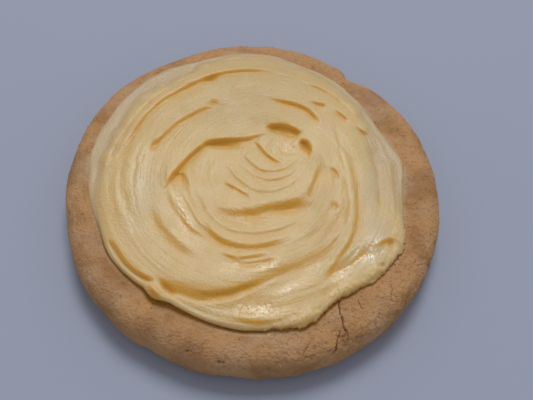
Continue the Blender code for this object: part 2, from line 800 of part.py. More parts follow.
def crack_cutter(crack):
    """A thin wedge that follows the crack, wide at the skin and sharp at its bottom and its ends."""
    shape = bmesh.new()
    above = 1.0 * MM
    rows = []
    count = len(crack.points)
    for number, place in enumerate(crack.points):
        before = Vector(crack.points[max(number - 1, 0)])
        after = Vector(crack.points[min(number + 1, count - 1)])
        along = (after - before).normalized()
        half = crack.width / 2 * MM * (0.35 if number in (0, count - 1) else 1)
        across = Vector((-along.y, along.x)) * half
        middle = Vector(place) * MM
        skin = float(crumb_top(np.array(middle.x), np.array(middle.y)))
        rows.append(
            [
                shape.verts.new((middle.x + across.x, middle.y + across.y, skin + above)),
                shape.verts.new((middle.x - across.x, middle.y - across.y, skin + above)),
                shape.verts.new((middle.x, middle.y, skin - crack.depth * MM)),
            ]
        )
    for near, far in zip(rows, rows[1:]):
        for side in range(3):
            other = (side + 1) % 3
            shape.faces.new((near[side], near[other], far[other], far[side]))
    shape.faces.new(rows[0])
    shape.faces.new(rows[-1])
    bmesh.ops.recalc_face_normals(shape, faces=shape.faces)
    mesh = bpy.data.meshes.new(crack.name)
    shape.to_mesh(mesh)
    shape.free()
    return mesh


def pit_cutter(place, radius):
    """A small ball let into the skin."""
    x, y = place[0] * MM, place[1] * MM
    skin = float(crumb_top(np.array(x), np.array(y)))
    shape = bmesh.new()
    bmesh.ops.create_icosphere(shape, subdivisions=1, radius=radius * MM)
    bmesh.ops.translate(shape, verts=shape.verts, vec=(x, y, skin))
    mesh = bpy.data.meshes.new("pit")
    shape.to_mesh(mesh)
    shape.free()
    return mesh


def icing_profile():
    """A flat lens of unit radius, top then underside. shape_icing gives it its real form."""
    top = [(ring / ICING_TOP_RINGS, 1.0) for ring in range(ICING_TOP_RINGS + 1)]
    under = [(share, -1.0) for share in ICING_UNDER_RINGS]
    return top + under


def shape_icing(mesh):
    """Spreads the lens over the crumb and raises its top by the depth of the icing."""
    points = points_of(mesh)
    share = np.hypot(points[:, 0], points[:, 1])
    turn = np.arctan2(points[:, 1], points[:, 0])
    radius = share * icing_edge(np.degrees(turn))
    x = ICING_CENTRE[0] + radius * np.cos(turn)
    y = ICING_CENTRE[1] + radius * np.sin(turn)
    under = crumb_top(x, y) + GAP
    z = np.where(points[:, 2] > 0, under + icing_depth(x, y), under)
    move_points(mesh, np.stack([x, y, z], axis=1))


def material(name, colour, roughness):
    made = bpy.data.materials.new(name)
    made.use_nodes = True
    shader = made.node_tree.nodes["Principled BSDF"]
    shader.inputs["Base Color"].default_value = colour
    shader.inputs["Roughness"].default_value = roughness
    shader.inputs["Metallic"].default_value = 0.0
    return made


def add_object(name, mesh, collection):
    made = bpy.data.objects.new(name, mesh)
    collection.objects.link(made)
    return made


def new_collection(name):
    made = bpy.data.collections.new(name)
    bpy.context.scene.collection.children.link(made)
    return made


def cut(target, cutter, collection, number):
    """Takes the cutter's shape out of the target with a Boolean that stays on the target."""
    tool = add_object(f"cutter_{number}", cutter, collection)
    tool.hide_render = True
    tool.display_type = "WIRE"
    taken = target.modifiers.new(f"cut {number}", "BOOLEAN")
    taken.operation = "DIFFERENCE"
    taken.solver = "EXACT"
    taken.object = tool


def make_crumb(parts, cutters):
    mesh = turned_mesh("cookie", crumb_profile(), CRUMB_SEGMENTS)
    shape_crumb(mesh)
    mesh.materials.append(material("baked crumb", CRUMB_COLOUR, 0.85))
    crumb = add_object("cookie", mesh, parts)
    tools = [crack_cutter(crack) for crack in CRACKS] + [pit_cutter(*pit) for pit in PITS]
    for number, tool in enumerate(tools):
        cut(crumb, tool, cutters, number)
    mesh.shade_smooth()
    mesh.set_sharp_from_angle(angle=math.radians(50))
    return crumb


def make_icing(parts):
    mesh = turned_mesh("icing", icing_profile(), ICING_SEGMENTS)
    shape_icing(mesh)
    mesh.materials.append(material("lemon icing", ICING_COLOUR, 0.45))
    mesh.shade_smooth()
    mesh.set_sharp_from_angle(angle=math.radians(60))
    return add_object("icing", mesh, parts)


def main():
    for old in list(bpy.data.objects):
        bpy.data.objects.remove(old)
    parts = new_collection("lemon cookie")
    cutters = new_collection("cutters")
    make_crumb(parts, cutters)
    make_icing(parts)


main()
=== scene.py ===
"""Gives the lemon cookie its looks: the baked crumb, the swirled icing, the loose crumbs and the stage.

Everything is in metres in the cookie's own frame: +Z is up, the cookie lies on z = 0 round the origin and
the photograph looks at it from -Y. Shapes are turned profiles whose points are then moved by formulas like
the solid's, with finer detail added.
"""

import math
from collections import namedtuple

import bmesh
import bpy
import numpy as np
from bpy.props import FloatProperty, FloatVectorProperty, IntProperty, PointerProperty
from mathutils import Matrix, Vector


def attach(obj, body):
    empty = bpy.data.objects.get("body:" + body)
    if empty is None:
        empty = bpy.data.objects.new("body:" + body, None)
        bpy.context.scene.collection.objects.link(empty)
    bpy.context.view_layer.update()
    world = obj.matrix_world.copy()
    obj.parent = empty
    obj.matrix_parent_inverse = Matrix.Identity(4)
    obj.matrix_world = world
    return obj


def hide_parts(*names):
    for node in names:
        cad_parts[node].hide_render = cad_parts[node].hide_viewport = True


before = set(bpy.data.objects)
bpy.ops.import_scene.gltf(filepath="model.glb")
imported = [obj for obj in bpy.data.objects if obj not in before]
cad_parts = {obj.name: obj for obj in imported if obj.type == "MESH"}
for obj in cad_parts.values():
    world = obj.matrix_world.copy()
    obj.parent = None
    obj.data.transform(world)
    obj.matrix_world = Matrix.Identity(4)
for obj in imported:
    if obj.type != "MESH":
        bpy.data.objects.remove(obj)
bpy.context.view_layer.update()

bl_info = {
    "name": "Lemon cookie",
    "version": (1, 0, 0),
    "blender": (4, 5, 0),
    "location": "3D View > Sidebar > Cookie",
    "description": "A soft-baked lemon cookie with swirled icing",
    "category": "Object",
}

MM = 0.001
BODY = "root"

# The photograph's camera, fitted to the cookie's outline
PHOTO_WIDTH_PX = 533
FOCAL_LENGTH_PX = 800
SENSOR_WIDTH_MM = 36.0
CAMERA_ELEVATION = 59.2
CAMERA_DISTANCE = 0.216
CAMERA_ROLL = 7.1
CAMERA_TARGET = (3.6 * MM, -1.1 * MM, 6.5 * MM)

# The crumb. Its outline, edge, nick and swells are the solid's. Grain, ragged foot, pores and hair cracks are
# only here.
COOKIE_RADIUS = 50.3 * MM
COOKIE_HEIGHT = 13.0 * MM
DOME_DROP = 0.7 * MM
EDGE_WIDTH = 6.5 * MM
EDGE_WAIST = 5.2 * MM
FOOT_INSET = 4.0 * MM
EDGE_FULLNESS = 2.5
# Slow waves of its outline: how many, height, and the angle of one crest
COOKIE_WAVES = ((3, 0.15 * MM, 0.0), (5, 0.27 * MM, 17.7), (6, 0.17 * MM, -28.0))
NICK_ANGLE = 61.0
NICK_DEPTH = 2.1 * MM
NICK_WIDTHS = (6.0, 2.2)
# Noise is given as pairs of its size and its height
CRUMB_SWELLS = ((10 * MM, 0.38 * MM), (4.5 * MM, 0.15 * MM))
CRUMB_GRAIN = ((1.8 * MM, 0.075 * MM), (0.8 * MM, 0.035 * MM))
FOOT_RAGGED = ((2.6 * MM, 0.32 * MM), (1.1 * MM, 0.14 * MM))
FOOT_BAND = 5 * MM
PORE_SIZE = 1.1 * MM
PORE_DEPTH = 0.1 * MM
# The noise from which a pore starts, how soon it is deep, and how much sooner it starts on the dry side
PORE_FROM = 0.6
PORE_FADE = 0.3
PORE_DRY = 0.12
# How strong grain and pores are everywhere, how much more on the dry side, and how much more at the foot
GRAIN_SHARES = (0.8, 1.6, 0.9)
PORE_SHARES = (0.4, 1.0, 0.8)
# Hair cracks of the dry front right: distance apart, share of it that a crack is wide, and depth
HAIR_SIZE = 4.2 * MM
HAIR_WIDTH = 0.05
HAIR_DEPTH = 0.25 * MM
# They are bent by noise of this size and height, and gather in patches
HAIR_BEND = (1.2 * MM, 0.4 * MM)
HAIR_PATCHES = 5 * MM
# The skin is smooth under the icing, up to here and over this width
BARE_FROM = 34.0 * MM
BARE_FADE = 6 * MM

# The icing. Its edge, depths, film, rises, strokes and dabs are the solid's. The edge's wobble and teeth, the
# hollow under the lip, the lumps of the torn side and the wrinkles are only here.
ICING_CENTRE = (-1.5 * MM, 1.3 * MM)
# The icing's edge about its own centre: angle in degrees, and radius in mm
ICING_EDGE = (
    (-173, 42.2), (-163, 42.0), (-158, 41.4), (-151, 41.2), (-143, 41.8), (-137, 42.2), (-130, 42.0),
    (-124, 41.5), (-120, 41.3), (-117.5, 42.9), (-115.5, 42.6), (-113, 41.2), (-108, 41.4), (-98, 42.2),
    (-88, 42.9), (-78, 43.1), (-72, 43.4), (-66, 43.9), (-62, 43.4), (-57, 41.7), (-51, 40.9),
    (-43, 41.7), (-37, 42.6), (-31, 43.5), (-25, 43.9), (-18, 43.9), (-13, 42.7), (-8, 41.3),
    (-1, 40.7), (8, 41.5), (16, 42.2), (24, 40.4), (32, 39.7), (42, 40.0), (48, 40.8), (59, 41.8),
    (66, 42.1), (74, 42.0), (80, 42.4), (89, 43.2), (99, 43.0), (107, 42.7), (120, 42.3), (130, 43.2),
    (140, 43.4), (155, 43.1), (162, 42.6), (169, 42.9), (179, 43.0),
)
# The angles beside each that are averaged with it
EDGE_SMOOTHING = (-2, 0, 2)
EDGE_WOBBLE = ((3.2 * MM, 0.16 * MM),)
TORN_TEETH = ((0.6 * MM, 0.3 * MM), (1.7 * MM, 0.28 * MM))
ICING_DEPTH = 3.4 * MM
ICING_SLOPE = 4.6 * MM
FILM_DEPTH = 0.35 * MM
FILM_SOFTNESS = 1.2 * MM
# A film as wide as this has its full softness and shoulder
FILM_BROAD = 1.5 * MM
FILM_WAVER = (4 * MM, 0.35)
# The low bank where the film ends: its height, and the widths of its two sides
SHOULDER = 0.05 * MM
SHOULDER_WIDTHS = (0.8 * MM, 4 * MM)
# The share of the film's depth that the very rim has, and the least that a groove leaves of it
RIM_SHARE = 0.08
LEAST_SHARE = 0.8
RIM_WIDTH = 0.8 * MM
# The strokes' relief sets in over this width
SETTLE_WIDTH = 1.6 * MM
# The rim's rises: angle, half width in degrees, and how high the rim stands there
EDGE_RISES = (
    (-140, 12, 0.9 * MM),
    (-114, 14, 2.1 * MM),
    (-92, 14, 0.9 * MM),
    (-68, 16, 1.2 * MM),
    (-44, 18, 1.3 * MM),
    (-18, 12, 0.7 * MM),
)
# The share of its rise that the very rim has, over which width it gets the rest, and how far in it is hollow
LIP_START = 0.85
LIP_ROUND = 0.6 * MM
LIP_REACH = 1.7 * MM
# How deep the underside is sunk into the crumb at the rim, and how much deeper further in
FOOT_SUNK = (0.12 * MM, 0.25 * MM)
# The share of the rise by which the rim stands off the crumb: angle, half width and share
LIP_GAPS = ((-150, 12, 0.35), (-116, 20, 0.65), (-92, 14, 0.4), (-60, 30, 0.35))
# Round the edge the icing starts as a thin film: angle in degrees, and width in mm
FILM_WIDTHS = (
    (-180, 2.6), (-172, 1.7), (-163, 0.7), (-155, 0.1), (-145, 0.0), (-30, 0.0), (-16, 0.2), (-9, 0.4),
    (0, 0.6), (8, 1.2), (17, 2.6), (24, 1.6), (42, 0.9), (60, 1.0), (80, 0.9), (104, 0.8), (118, 1.4),
    (130, 3.6), (142, 3.4), (156, 2.4), (170, 3.2), (180, 2.6),
)

# A knife stroke: the points that its line passes through, and how much it raises the icing on the left and on
# the right of the way along it, all in mm. The rise dies away over its reach, face is half the width of the
# slope between the two sides, and the taper is the share of its length over which it sets in and dies out.
Stroke = namedtuple(
    "Stroke", "name points left right reach_left reach_right face taper", defaults=((0.3, 0.3),)
)
STROKES = (
    Stroke("outer band", (
        (-38.1, -8.2), (-37.1, -1.0), (-35.9, 5.1), (-33.3, 12.2), (-30.4, 18.3), (-25.2, 24.7),
        (-16.8, 31.3), (-10.0, 34.5), (-1.0, 35.9), (7.0, 35.2),
    ), 0.35, -0.65, 2.6, 6.0, 0.4, (0.35, 0.2)),
    Stroke("outer band, streak", (
        (-39.5, -6.6), (-38.5, 2.3), (-36.8, 9.5), (-33.6, 17.7), (-29.0, 25.0), (-24.5, 29.5),
    ), 0.3, -0.4, 1.5, 1.5, 0.25),
    Stroke("top edge, line", (
        (-16.3, 38.4), (-11.5, 40.2), (-6.2, 41.3), (-0.8, 41.7),
    ), 0.35, -0.35, 1.5, 2.0, 0.25),
    Stroke("top edge, right line", (
        (-1.2, 41.7), (3.0, 41.2), (6.7, 40.2), (9.9, 39.0),
    ), 0.25, -0.25, 1.2, 1.5, 0.25),
    Stroke("outer right line", (
        (7.8, 34.3), (12.4, 33.0), (16.3, 31.7), (19.9, 29.6), (23.5, 26.8), (26.7, 23.7),
    ), 0.25, -0.4, 1.8, 2.5, 0.25),
    Stroke("upper left step", (
        (-27.8, 6.0), (-26.7, 7.7), (-25.0, 10.6), (-22.7, 14.1), (-19.5, 17.3), (-15.6, 20.3),
        (-10.3, 22.4), (-4.2, 23.7),
    ), 0.3, -0.6, 3.5, 6.0, 0.5, (0.08, 0.55)),
    Stroke("upper bank", (
        (-33.0, 4.0), (-29.5, 12.5), (-23.5, 20.5), (-14.5, 26.5), (-4.0, 29.5), (7.0, 29.0),
        (15.5, 26.0),
    ), 0.4, -0.45, 5.0, 6.0, 4.0),
    Stroke("upper right step", (
        (-1.7, 25.7), (1.7, 25.8), (4.5, 25.5), (7.2, 25.2), (10.0, 24.5), (12.1, 23.4), (13.9, 21.7),
        (15.9, 18.8),
    ), 0.35, -0.8, 2.8, 4.0, 0.4, (0.45, 0.2)),
    Stroke("upper right nick", (
        (10.5, 26.5), (12.9, 26.7), (14.9, 26.3), (17.0, 26.4),
    ), 0.25, -0.8, 1.5, 1.4, 0.35, (0.7, 0.2)),
    Stroke("right nick", (
        (18.7, 26.3), (20.5, 24.6), (22.3, 23.1), (24.4, 22.0),
    ), 0.25, -0.8, 1.5, 1.6, 0.35, (0.5, 0.4)),
    Stroke("outer right nick", (
        (25.1, 21.8), (26.9, 20.2), (28.2, 19.5), (29.6, 19.8),
    ), 0.2, -0.75, 1.2, 1.4, 0.3, (0.5, 0.3)),
    Stroke("eye, top lip", (
        (0.3, 15.6), (2.3, 16.7), (5.5, 17.2), (8.5, 16.5), (10.9, 15.0),
    ), 0.45, -1.4, 2.8, 3.4, 0.4, (0.3, 0.15)),
    Stroke("eye, hook", (
        (10.1, 12.5), (11.4, 13.0), (12.7, 12.5), (13.5, 10.8), (13.7, 8.7), (13.1, 6.5),
    ), 0.35, -1.1, 2.2, 1.8, 0.35, (0.15, 0.5)),
    Stroke("eye, curl", (
        (-2.4, 11.5), (-0.8, 10.2), (0.9, 8.2), (3.0, 6.5), (5.1, 5.3), (7.7, 4.9),
    ), 0.3, -0.5, 2.5, 2.2, 0.22, (0.3, 0.35)),
    Stroke("eye, first ripple", (
        (-5.7, 8.2), (-3.2, 5.2), (0.7, 2.3), (4.9, 2.0), (8.3, 4.1), (11.1, 7.9),
    ), 0.2, -0.28, 1.2, 1.4, 0.3),
    Stroke("eye, second ripple", (
        (-6.5, 6.5), (-3.4, 2.0), (1.0, -0.4), (5.2, -0.7), (9.5, 2.1), (12.7, 6.9),
    ), 0.18, -0.22, 1.2, 1.4, 0.3),
    Stroke("eye, third ripple", (
        (-10.0, 5.4), (-7.4, 1.4), (-3.8, -2.3), (0.5, -4.6), (5.5, -4.2), (10.3, -0.8), (13.2, 3.9),
    ), 0.2, -0.25, 1.4, 1.8, 0.35),
    Stroke("crescent", (
        (-22.9, -9.3), (-22.7, -7.3), (-20.7, -1.9), (-18.0, 3.4), (-15.5, 6.9), (-13.6, 8.7),
        (-10.1, 9.9), (-6.5, 10.6), (-3.4, 11.4), (-0.4, 12.9), (3.6, 14.6),
    ), 0.45, -1.0, 4.0, 6.0, 0.3, (0.2, 0.35)),
    Stroke("crescent, fold", (
        (-21.3, -4.2), (-20.2, -1.9), (-18.8, -1.7), (-17.4, -3.6), (-16.1, -7.0),
    ), 0.25, -0.3, 1.2, 2.0, 0.25),
    Stroke("heart, front", (
        (-14.1, -8.4), (-11.3, -10.3), (-8.2, -11.6), (-3.7, -11.7), (0.2, -10.9), (4.0, -9.3),
        (8.9, -7.5), (12.3, -5.7), (13.7, -4.5),
    ), 0.8, -1.1, 5.0, 5.0, 1.3, (0.5, 0.1)),
    Stroke("heart, right", (
        (16.4, 7.8), (16.1, 4.9), (15.5, 1.8), (14.6, -2.0), (13.7, -5.4),
    ), -0.7, 0.5, 2.4, 3.5, 0.6, (0.35, 0.15)),
    Stroke("heart, line", (
        (-8.6, -3.1), (-5.6, -4.2), (-2.9, -5.6), (0.5, -7.3),
    ), 0.3, -0.35, 2.0, 2.0, 0.2),
    Stroke("left arm", (
        (-17.9, -0.5), (-15.3, -5.6), (-12.3, -10.4), (-9.2, -14.5), (-4.9, -17.0), (0.0, -17.3),
        (4.8, -16.2), (10.4, -13.4), (16.0, -8.6),
    ), 0.3, -0.3, 2.2, 2.2, 0.5),
    Stroke("middle left arm", (
        (-20.3, -2.6), (-18.2, -7.6), (-15.2, -12.4), (-11.8, -16.6), (-7.0, -19.0),
    ), 0.25, -0.32, 1.3, 1.5, 0.3),
    Stroke("left arm, line", (
        (-19.2, -0.6), (-16.9, -6.4), (-13.8, -11.4), (-10.4, -15.6),
    ), 0.2, -0.25, 0.9, 1.1, 0.22),
    Stroke("outer left arm", (
        (-22.3, -5.9), (-20.2, -10.9), (-17.1, -15.0), (-13.1, -18.4), (-7.9, -20.7),
    ), 0.25, -0.35, 2.2, 2.5, 0.5),
    Stroke("second step", (
        (-12.5, -12.0), (-10.8, -15.8), (-8.1, -19.0), (-4.5, -20.7), (0.0, -21.1), (3.8, -20.4),
        (7.5, -18.7), (12.7, -16.0),
    ), 0.5, -0.8, 4.0, 3.5, 0.7),
    Stroke("third step", (
        (-7.1, -22.8), (-4.0, -24.0), (-1.1, -24.2), (2.7, -23.2), (7.3, -21.6),
    ), 0.4, -0.6, 2.0, 3.0, 0.4),
    Stroke("third step, second line", (
        (-1.9, -25.4), (0.9, -25.2), (4.7, -24.1), (8.4, -23.0),
    ), 0.3, -0.5, 1.2, 1.5, 0.3),
    Stroke("valley", (
        (-25.4, -10.3), (-23.5, -15.2), (-20.7, -19.6), (-17.3, -22.6), (-13.1, -24.5), (-8.6, -25.5),
    ), 0.4, -0.8, 5.0, 6.0, 1.3),
    Stroke("lip groove", (
        (-34.0, -22.6), (-32.0, -24.8), (-29.7, -27.5), (-27.0, -29.9), (-23.7, -31.6), (-20.4, -32.6),
    ), 0.3, -1.3, 2.5, 1.0, 0.28, (0.12, 0.15)),
    Stroke("great step", (
        (-19.6, -33.0), (-15.9, -34.2), (-11.5, -34.9), (-7.2, -34.6), (-2.6, -33.3), (2.5, -31.0),
        (7.5, -28.0), (12.1, -24.7), (16.8, -21.0), (20.5, -16.9), (22.8, -12.5),
    ), 1.6, -1.7, 8.0, 4.5, 3.2, (0.08, 0.45)),
    Stroke("great step, foot", (
        (-19.8, -32.7), (-17.9, -34.5), (-14.3, -35.5), (-9.8, -36.4), (-6.0, -35.9), (-2.3, -34.7),
        (1.3, -32.8), (4.5, -30.8), (7.7, -28.7), (11.4, -26.3), (15.6, -22.9),
    ), -0.5, 0.3, 2.2, 1.4, 0.5, (0.06, 0.45)),
    Stroke("great step, fold in its face", (
        (-12.0, -34.5), (-8.2, -34.4), (-3.5, -33.4), (1.1, -31.3), (5.7, -28.7),
    ), 0.5, -0.5, 1.5, 1.3, 0.35),
    Stroke("ridge on the lip", (
        (-1.7, -39.4), (2.1, -39.8), (5.5, -39.8), (9.7, -38.6), (13.8, -36.5),
    ), 0.3, -0.4, 1.2, 1.2, 0.35),
    Stroke("right ridge", (
        (19.9, 16.2), (21.6, 13.5), (23.6, 9.9), (25.2, 4.4), (26.2, -1.7), (26.8, -7.7), (26.5, -12.1),
        (25.3, -16.3), (23.0, -20.8), (20.8, -25.3), (18.6, -29.3),
    ), -0.75, 0.45, 4.0, 1.8, 0.5),
    Stroke("right ridge, inner side", (
        (21.1, 9.4), (22.8, 3.9), (24.2, -2.1), (24.6, -7.5), (24.1, -11.7), (22.6, -15.3),
        (20.9, -19.0),
    ), 0.15, -0.5, 1.2, 2.5, 0.5),
    Stroke("right ridge, second", (
        (17.7, 20.0), (20.0, 16.2), (21.3, 11.2), (22.5, 6.7), (23.4, 1.9),
    ), -0.25, 0.2, 1.5, 1.5, 0.3),
    Stroke("right, short nick", (
        (19.2, 5.8), (20.3, 5.2), (21.4, 3.8), (22.0, 2.0),
    ), 0.1, -0.5, 1.0, 1.0, 0.2),
    Stroke("scraped side", (
        (25.5, 22.1), (29.7, 15.9), (31.6, 9.0), (32.6, 1.6), (32.9, -5.1), (32.3, -10.6),
    ), -1.3, -1.3, 4.5, 4.5, 0.4),
    Stroke("right edge, ridge", (
        (34.7, 14.3), (35.6, 9.2), (36.2, 3.6), (36.7, -1.9), (37.0, -7.9),
    ), 0.5, 0.5, 1.0, 1.2, 0.3),
    Stroke("right edge, outer ridge", (
        (38.4, 11.2), (39.0, 6.1), (39.0, -0.1), (38.8, -5.0), (38.8, -9.8), (39.8, -13.1),
    ), 0.35, 0.35, 0.8, 0.9, 0.3),
    Stroke("mound, back", (
        (32.2, -16.6), (33.9, -14.5), (35.9, -13.2), (38.5, -12.9),
    ), 0.4, -0.3, 1.5, 3.0, 0.35),
    Stroke("torn ridge", (
        (38.7, -14.7), (37.7, -18.5), (35.6, -21.6), (32.7, -24.3), (29.4, -26.8), (26.5, -29.0),
        (23.2, -31.1), (20.2, -33.1),
    ), 0.55, 0.6, 2.4, 4.2, 0.6, (0.15, 0.35)),
    Stroke("trough before the ridge", (
        (31.8, -14.4), (29.3, -18.4), (26.0, -21.6), (22.0, -24.6), (17.5, -28.0),
    ), -0.8, -0.8, 2.8, 2.6, 0.9),
)
STROKE_STEPS = 4
STROKE_BLEND = 0.3 * MM

# A soft oval bump: its place and half sizes in mm, how many degrees it is turned, and its height
Dab = namedtuple("Dab", "name place size turn rise")
DABS = (
    Dab("fold over the lip", (-19.8, -35.8), (2.6, 0.65), -48, 1.5),
    Dab("hollow behind the fold", (-17.6, -34.0), (2.2, 0.7), -35, -1.2),
    Dab("inside of the lip's bowl", (4.5, -35.4), (7.0, 1.7), 8, -0.3),
    Dab("rim of the lip's bowl", (6.0, -38.8), (7.0, 1.3), 5, 0.25),
    Dab("dab on the third step", (-1.8, -24.6), (1.1, 0.8), 0, 0.6),
    Dab("dab on the film", (-30.8, 28.0), (1.6, 1.2), 40, 0.9),
    Dab("nick in the outer band", (-16.5, 30.9), (2.0, 0.8), 25, -0.8),
    Dab("nick in the upper step", (-14.2, 22.2), (1.3, 0.9), 20, -0.7),
    Dab("end of the upper step", (-27.7, 5.8), (1.8, 1.0), 65, -0.7),
    Dab("thick part of the crescent", (-9.8, 8.6), (4.4, 0.9), 4, -0.8),
    Dab("thick part of the eye's lip", (5.8, 15.4), (3.6, 1.0), -10, -0.9),
    Dab("thick part of the hook", (12.1, 11.5), (1.6, 1.0), -55, -1.0),
    Dab("deep end of the heart's front", (9.8, -8.6), (4.0, 1.2), 17, -0.5),
    Dab("pit on the right", (21.3, -6.0), (0.8, 1.2), 20, -0.5),
    Dab("shallow on the right", (20.0, -9.0), (4.0, 3.0), 0, -0.5),
    Dab("pit at the end of the mound", (36.2, -14.6), (0.8, 1.2), 10, -0.6),
    Dab("end of the torn ridge", (17.0, -37.0), (2.2, 1.6), 30, 0.6),
    Dab("pit in the torn ridge", (34.6, -20.7), (0.8, 0.8), 0, -0.8),
    Dab("hollow of the eye", (6.8, 8.8), (4.5, 3.5), 70, -0.5),
)

# Ridges along the knife's way. The solid has only the broadest, and lower.
STREAKS = ((3.6 * MM, 0.19 * MM), (1.7 * MM, 0.15 * MM), (0.9 * MM, 0.08 * MM), (0.5 * MM, 0.035 * MM))
# They waver, are this many times longer than wide, and are stronger in patches: size, mean and change
STREAK_WAVER = ((3.0 * MM, 0.35 * MM),)
STREAK_LENGTH = 3
STREAK_PATCHES = (9 * MM, 0.35, 0.35)
STREAK_LIMITS = (0.05, 2.0)
# Where the knife left more of them, and where fewer
STREAKY = (
    Dab("left band", (-34.5, -4.0), (6.0, 18.0), -5, 1.4),
    Dab("inside the crescent", (-16.0, 0.0), (5.5, 8.0), -30, 1.5),
    Dab("left arms", (-14.0, -11.0), (7.0, 12.0), 20, 0.8),
    Dab("below the heart", (2.0, -14.0), (14.0, 5.0), 10, 0.5),
    Dab("middle of the heart", (2.0, 2.0), (9.0, 7.0), 10, 0.7),
    Dab("right side", (23.0, 4.0), (5.0, 18.0), 8, 0.5),
    Dab("right blotch", (20.0, -12.0), (7.0, 8.0), 8, 1.0),
    Dab("front right", (26.0, -21.0), (10.0, 5.0), 52, 0.7),
    Dab("front lip", (2.0, -36.0), (12.0, 4.0), 10, 0.1),
    Dab("bowl of the eye", (6.5, 11.5), (5.0, 4.0), 0, -0.3),
    Dab("upper band", (-10.0, 20.0), (20.0, 9.0), 20, -0.45),
    Dab("scraped side", (31.0, 3.0), (4.0, 16.0), 0, 0.35),
)
# The knife's way is a family of circles: the middle of the smallest, and of all from FLOW_FULL on
FLOW_EYE = (9 * MM, 11 * MM)
FLOW_WHOLE = (-1 * MM, 0 * MM)
FLOW_FULL = 20 * MM
# Round it, the pattern is as long everywhere as at this distance
FLOW_ROUND = 9 * MM
# Where the icing stuck to the knife and came away in fine wrinkles
WRINKLES = (
    Dab("inside the crescent", (-17.5, 1.0), (4.0, 6.0), -35, 0.045),
    Dab("bowl of the eye", (9.0, 11.5), (3.0, 2.5), 0, 0.1),
    Dab("front right", (26.0, -22.5), (10.0, 4.0), 48, 0.04),
    Dab("left arms", (-20.0, -14.0), (4.0, 8.0), 20, 0.05),
    Dab("front lip", (3.0, -36.5), (7.0, 3.0), 10, 0.1),
    Dab("third step", (3.0, -27.0), (9.0, 2.0), 10, 0.05),
)
WRINKLE_SIZE = 0.9 * MM
WRINKLE_SOFTNESS = 0.15
WRINKLE_BEND = ((2.2 * MM, 0.5 * MM),)
WRINKLE_STRETCH = 0.6
# Where the icing is wet and catches the window
WET = (
    Dab("front lip", (4.0, -37.0), (6.5, 2.2), 8, 0.75),
    Dab("foot of the great step", (12.0, -30.0), (5.0, 1.4), 38, 0.55),
    Dab("front right", (26.5, -20.5), (7.0, 2.2), 52, 1.0),
    Dab("inside the torn ridge", (32.5, -17.0), (4.0, 1.5), 55, 0.9),
    Dab("bowl of the eye", (7.5, 11.0), (3.0, 2.6), 0, 0.55),
    Dab("inside the crescent", (-18.0, -2.0), (2.5, 7.0), -15, 0.05),
    Dab("left arms", (-17.0, -14.0), (2.5, 7.0), 30, 0.6),
    Dab("outer band", (-31.0, -8.0), (3.0, 12.0), -8, 0.5),
    Dab("third step", (4.0, -26.0), (9.0, 2.0), 12, 0.6),
    Dab("right ridge", (24.0, 2.0), (2.0, 12.0), 5, 0.15),
)

# Where it is spread so thin that it looks pale and grey
PALE = (
    Dab("scraped side", (31.5, 1.0), (4.0, 17.0), 4, 1.0),
    Dab("left valley", (-27.5, -9.0), (4.5, 12.0), 15, 0.7),
    Dab("inside the torn ridge", (28.5, -18.5), (3.5, 9.0), -45, 0.9),
    Dab("upper left film", (-36.0, 26.0), (8.0, 3.5), 50, 1.0),
    Dab("front lip", (-8.0, -38.0), (8.0, 2.0), -5, 0.4),
)

# Where its colour is a little deeper: painted shade at the back and top, and a deeper tone in the right blotch
BACK_SHADE_AND_DEEPER = (
    Dab("upper band", (-8.0, 21.0), (20.0, 9.0), 10, 0.75),
    Dab("top", (-2.0, 36.0), (26.0, 8.0), 0, 0.85),
    Dab("right blotch", (20.0, -12.0), (5.0, 7.0), 8, 0.5),
)

# The crumbly front right of the icing: middle and half width of its angles, and how far in it reaches
TORN_ANGLE = -44.0
TORN_HALF = 34.0
TORN_FADE = 8.0
TORN_REACH = 3.4 * MM
TORN_LUMPS = ((3.4 * MM, 0.2 * MM), (1.3 * MM, 0.16 * MM), (0.55 * MM, 0.16 * MM))

# A crack: the points of its line, its width and its depth in mm. The solid has the four longest, wider and
# with fewer bends.
Crack = namedtuple("Crack", "name points width depth")
CRACKS = (
    Crack("long crack", (
        (24.2, -30.6), (24.7, -32.7), (25.2, -34.7), (25.7, -36.0), (26.1, -37.6), (27.4, -40.0),
    ), 0.28, 1.2),
    Crack("outer crack", ((25.1, -38.6), (24.7, -40.7), (24.5, -42.7), (23.9, -43.6)), 0.22, 0.9),
    Crack("front crack", ((18.5, -41.3), (17.3, -44.0), (16.6, -44.9)), 0.14, 0.4),
    Crack("right crack", ((37.1, -24.5), (37.4, -25.8), (36.9, -27.6), (37.6, -29.2)), 0.16, 0.6),
    Crack("edge crack", ((39.8, -26.8), (42.8, -28.5)), 0.16, 0.4),
    Crack("crack under the ridge", ((28.7, -29.6), (29.6, -31.6), (30.7, -32.4)), 0.13, 0.4),
)
CRACK_BEND = ((1.1 * MM, 0.3 * MM),)
CRACK_WIDTHS = (1.5 * MM, 0.5)
CRACK_SHARE = 0.6
# Pits: place and radius in mm. They are longer across than away, and nearly as deep as their radius. The solid
# has four, a little larger.
PIT_STRETCH = 1.6
PIT_SHARE = 0.9
PITS = (
    ((38.6, -17.3), 0.5),
    ((37.7, -19.0), 0.4),
    ((-2.6, -48.9), 0.6),
    ((-1.6, -49.0), 0.5),
    ((-10.4, -47.6), 0.45),
    ((-19.9, -41.6), 0.22),
)

# The smear of icing on the crumb: its width, greatest share and patches, and the line where it ends in front:
# how far beyond the icing, width, and its angle and half width in degrees
SMEAR_WIDTH = 1.4 * MM
SMEAR_SHARE = 0.7
SMEAR_PATCHES = 4 * MM
SMEAR_LINE = (0.9 * MM, 0.35 * MM, -80, 13)
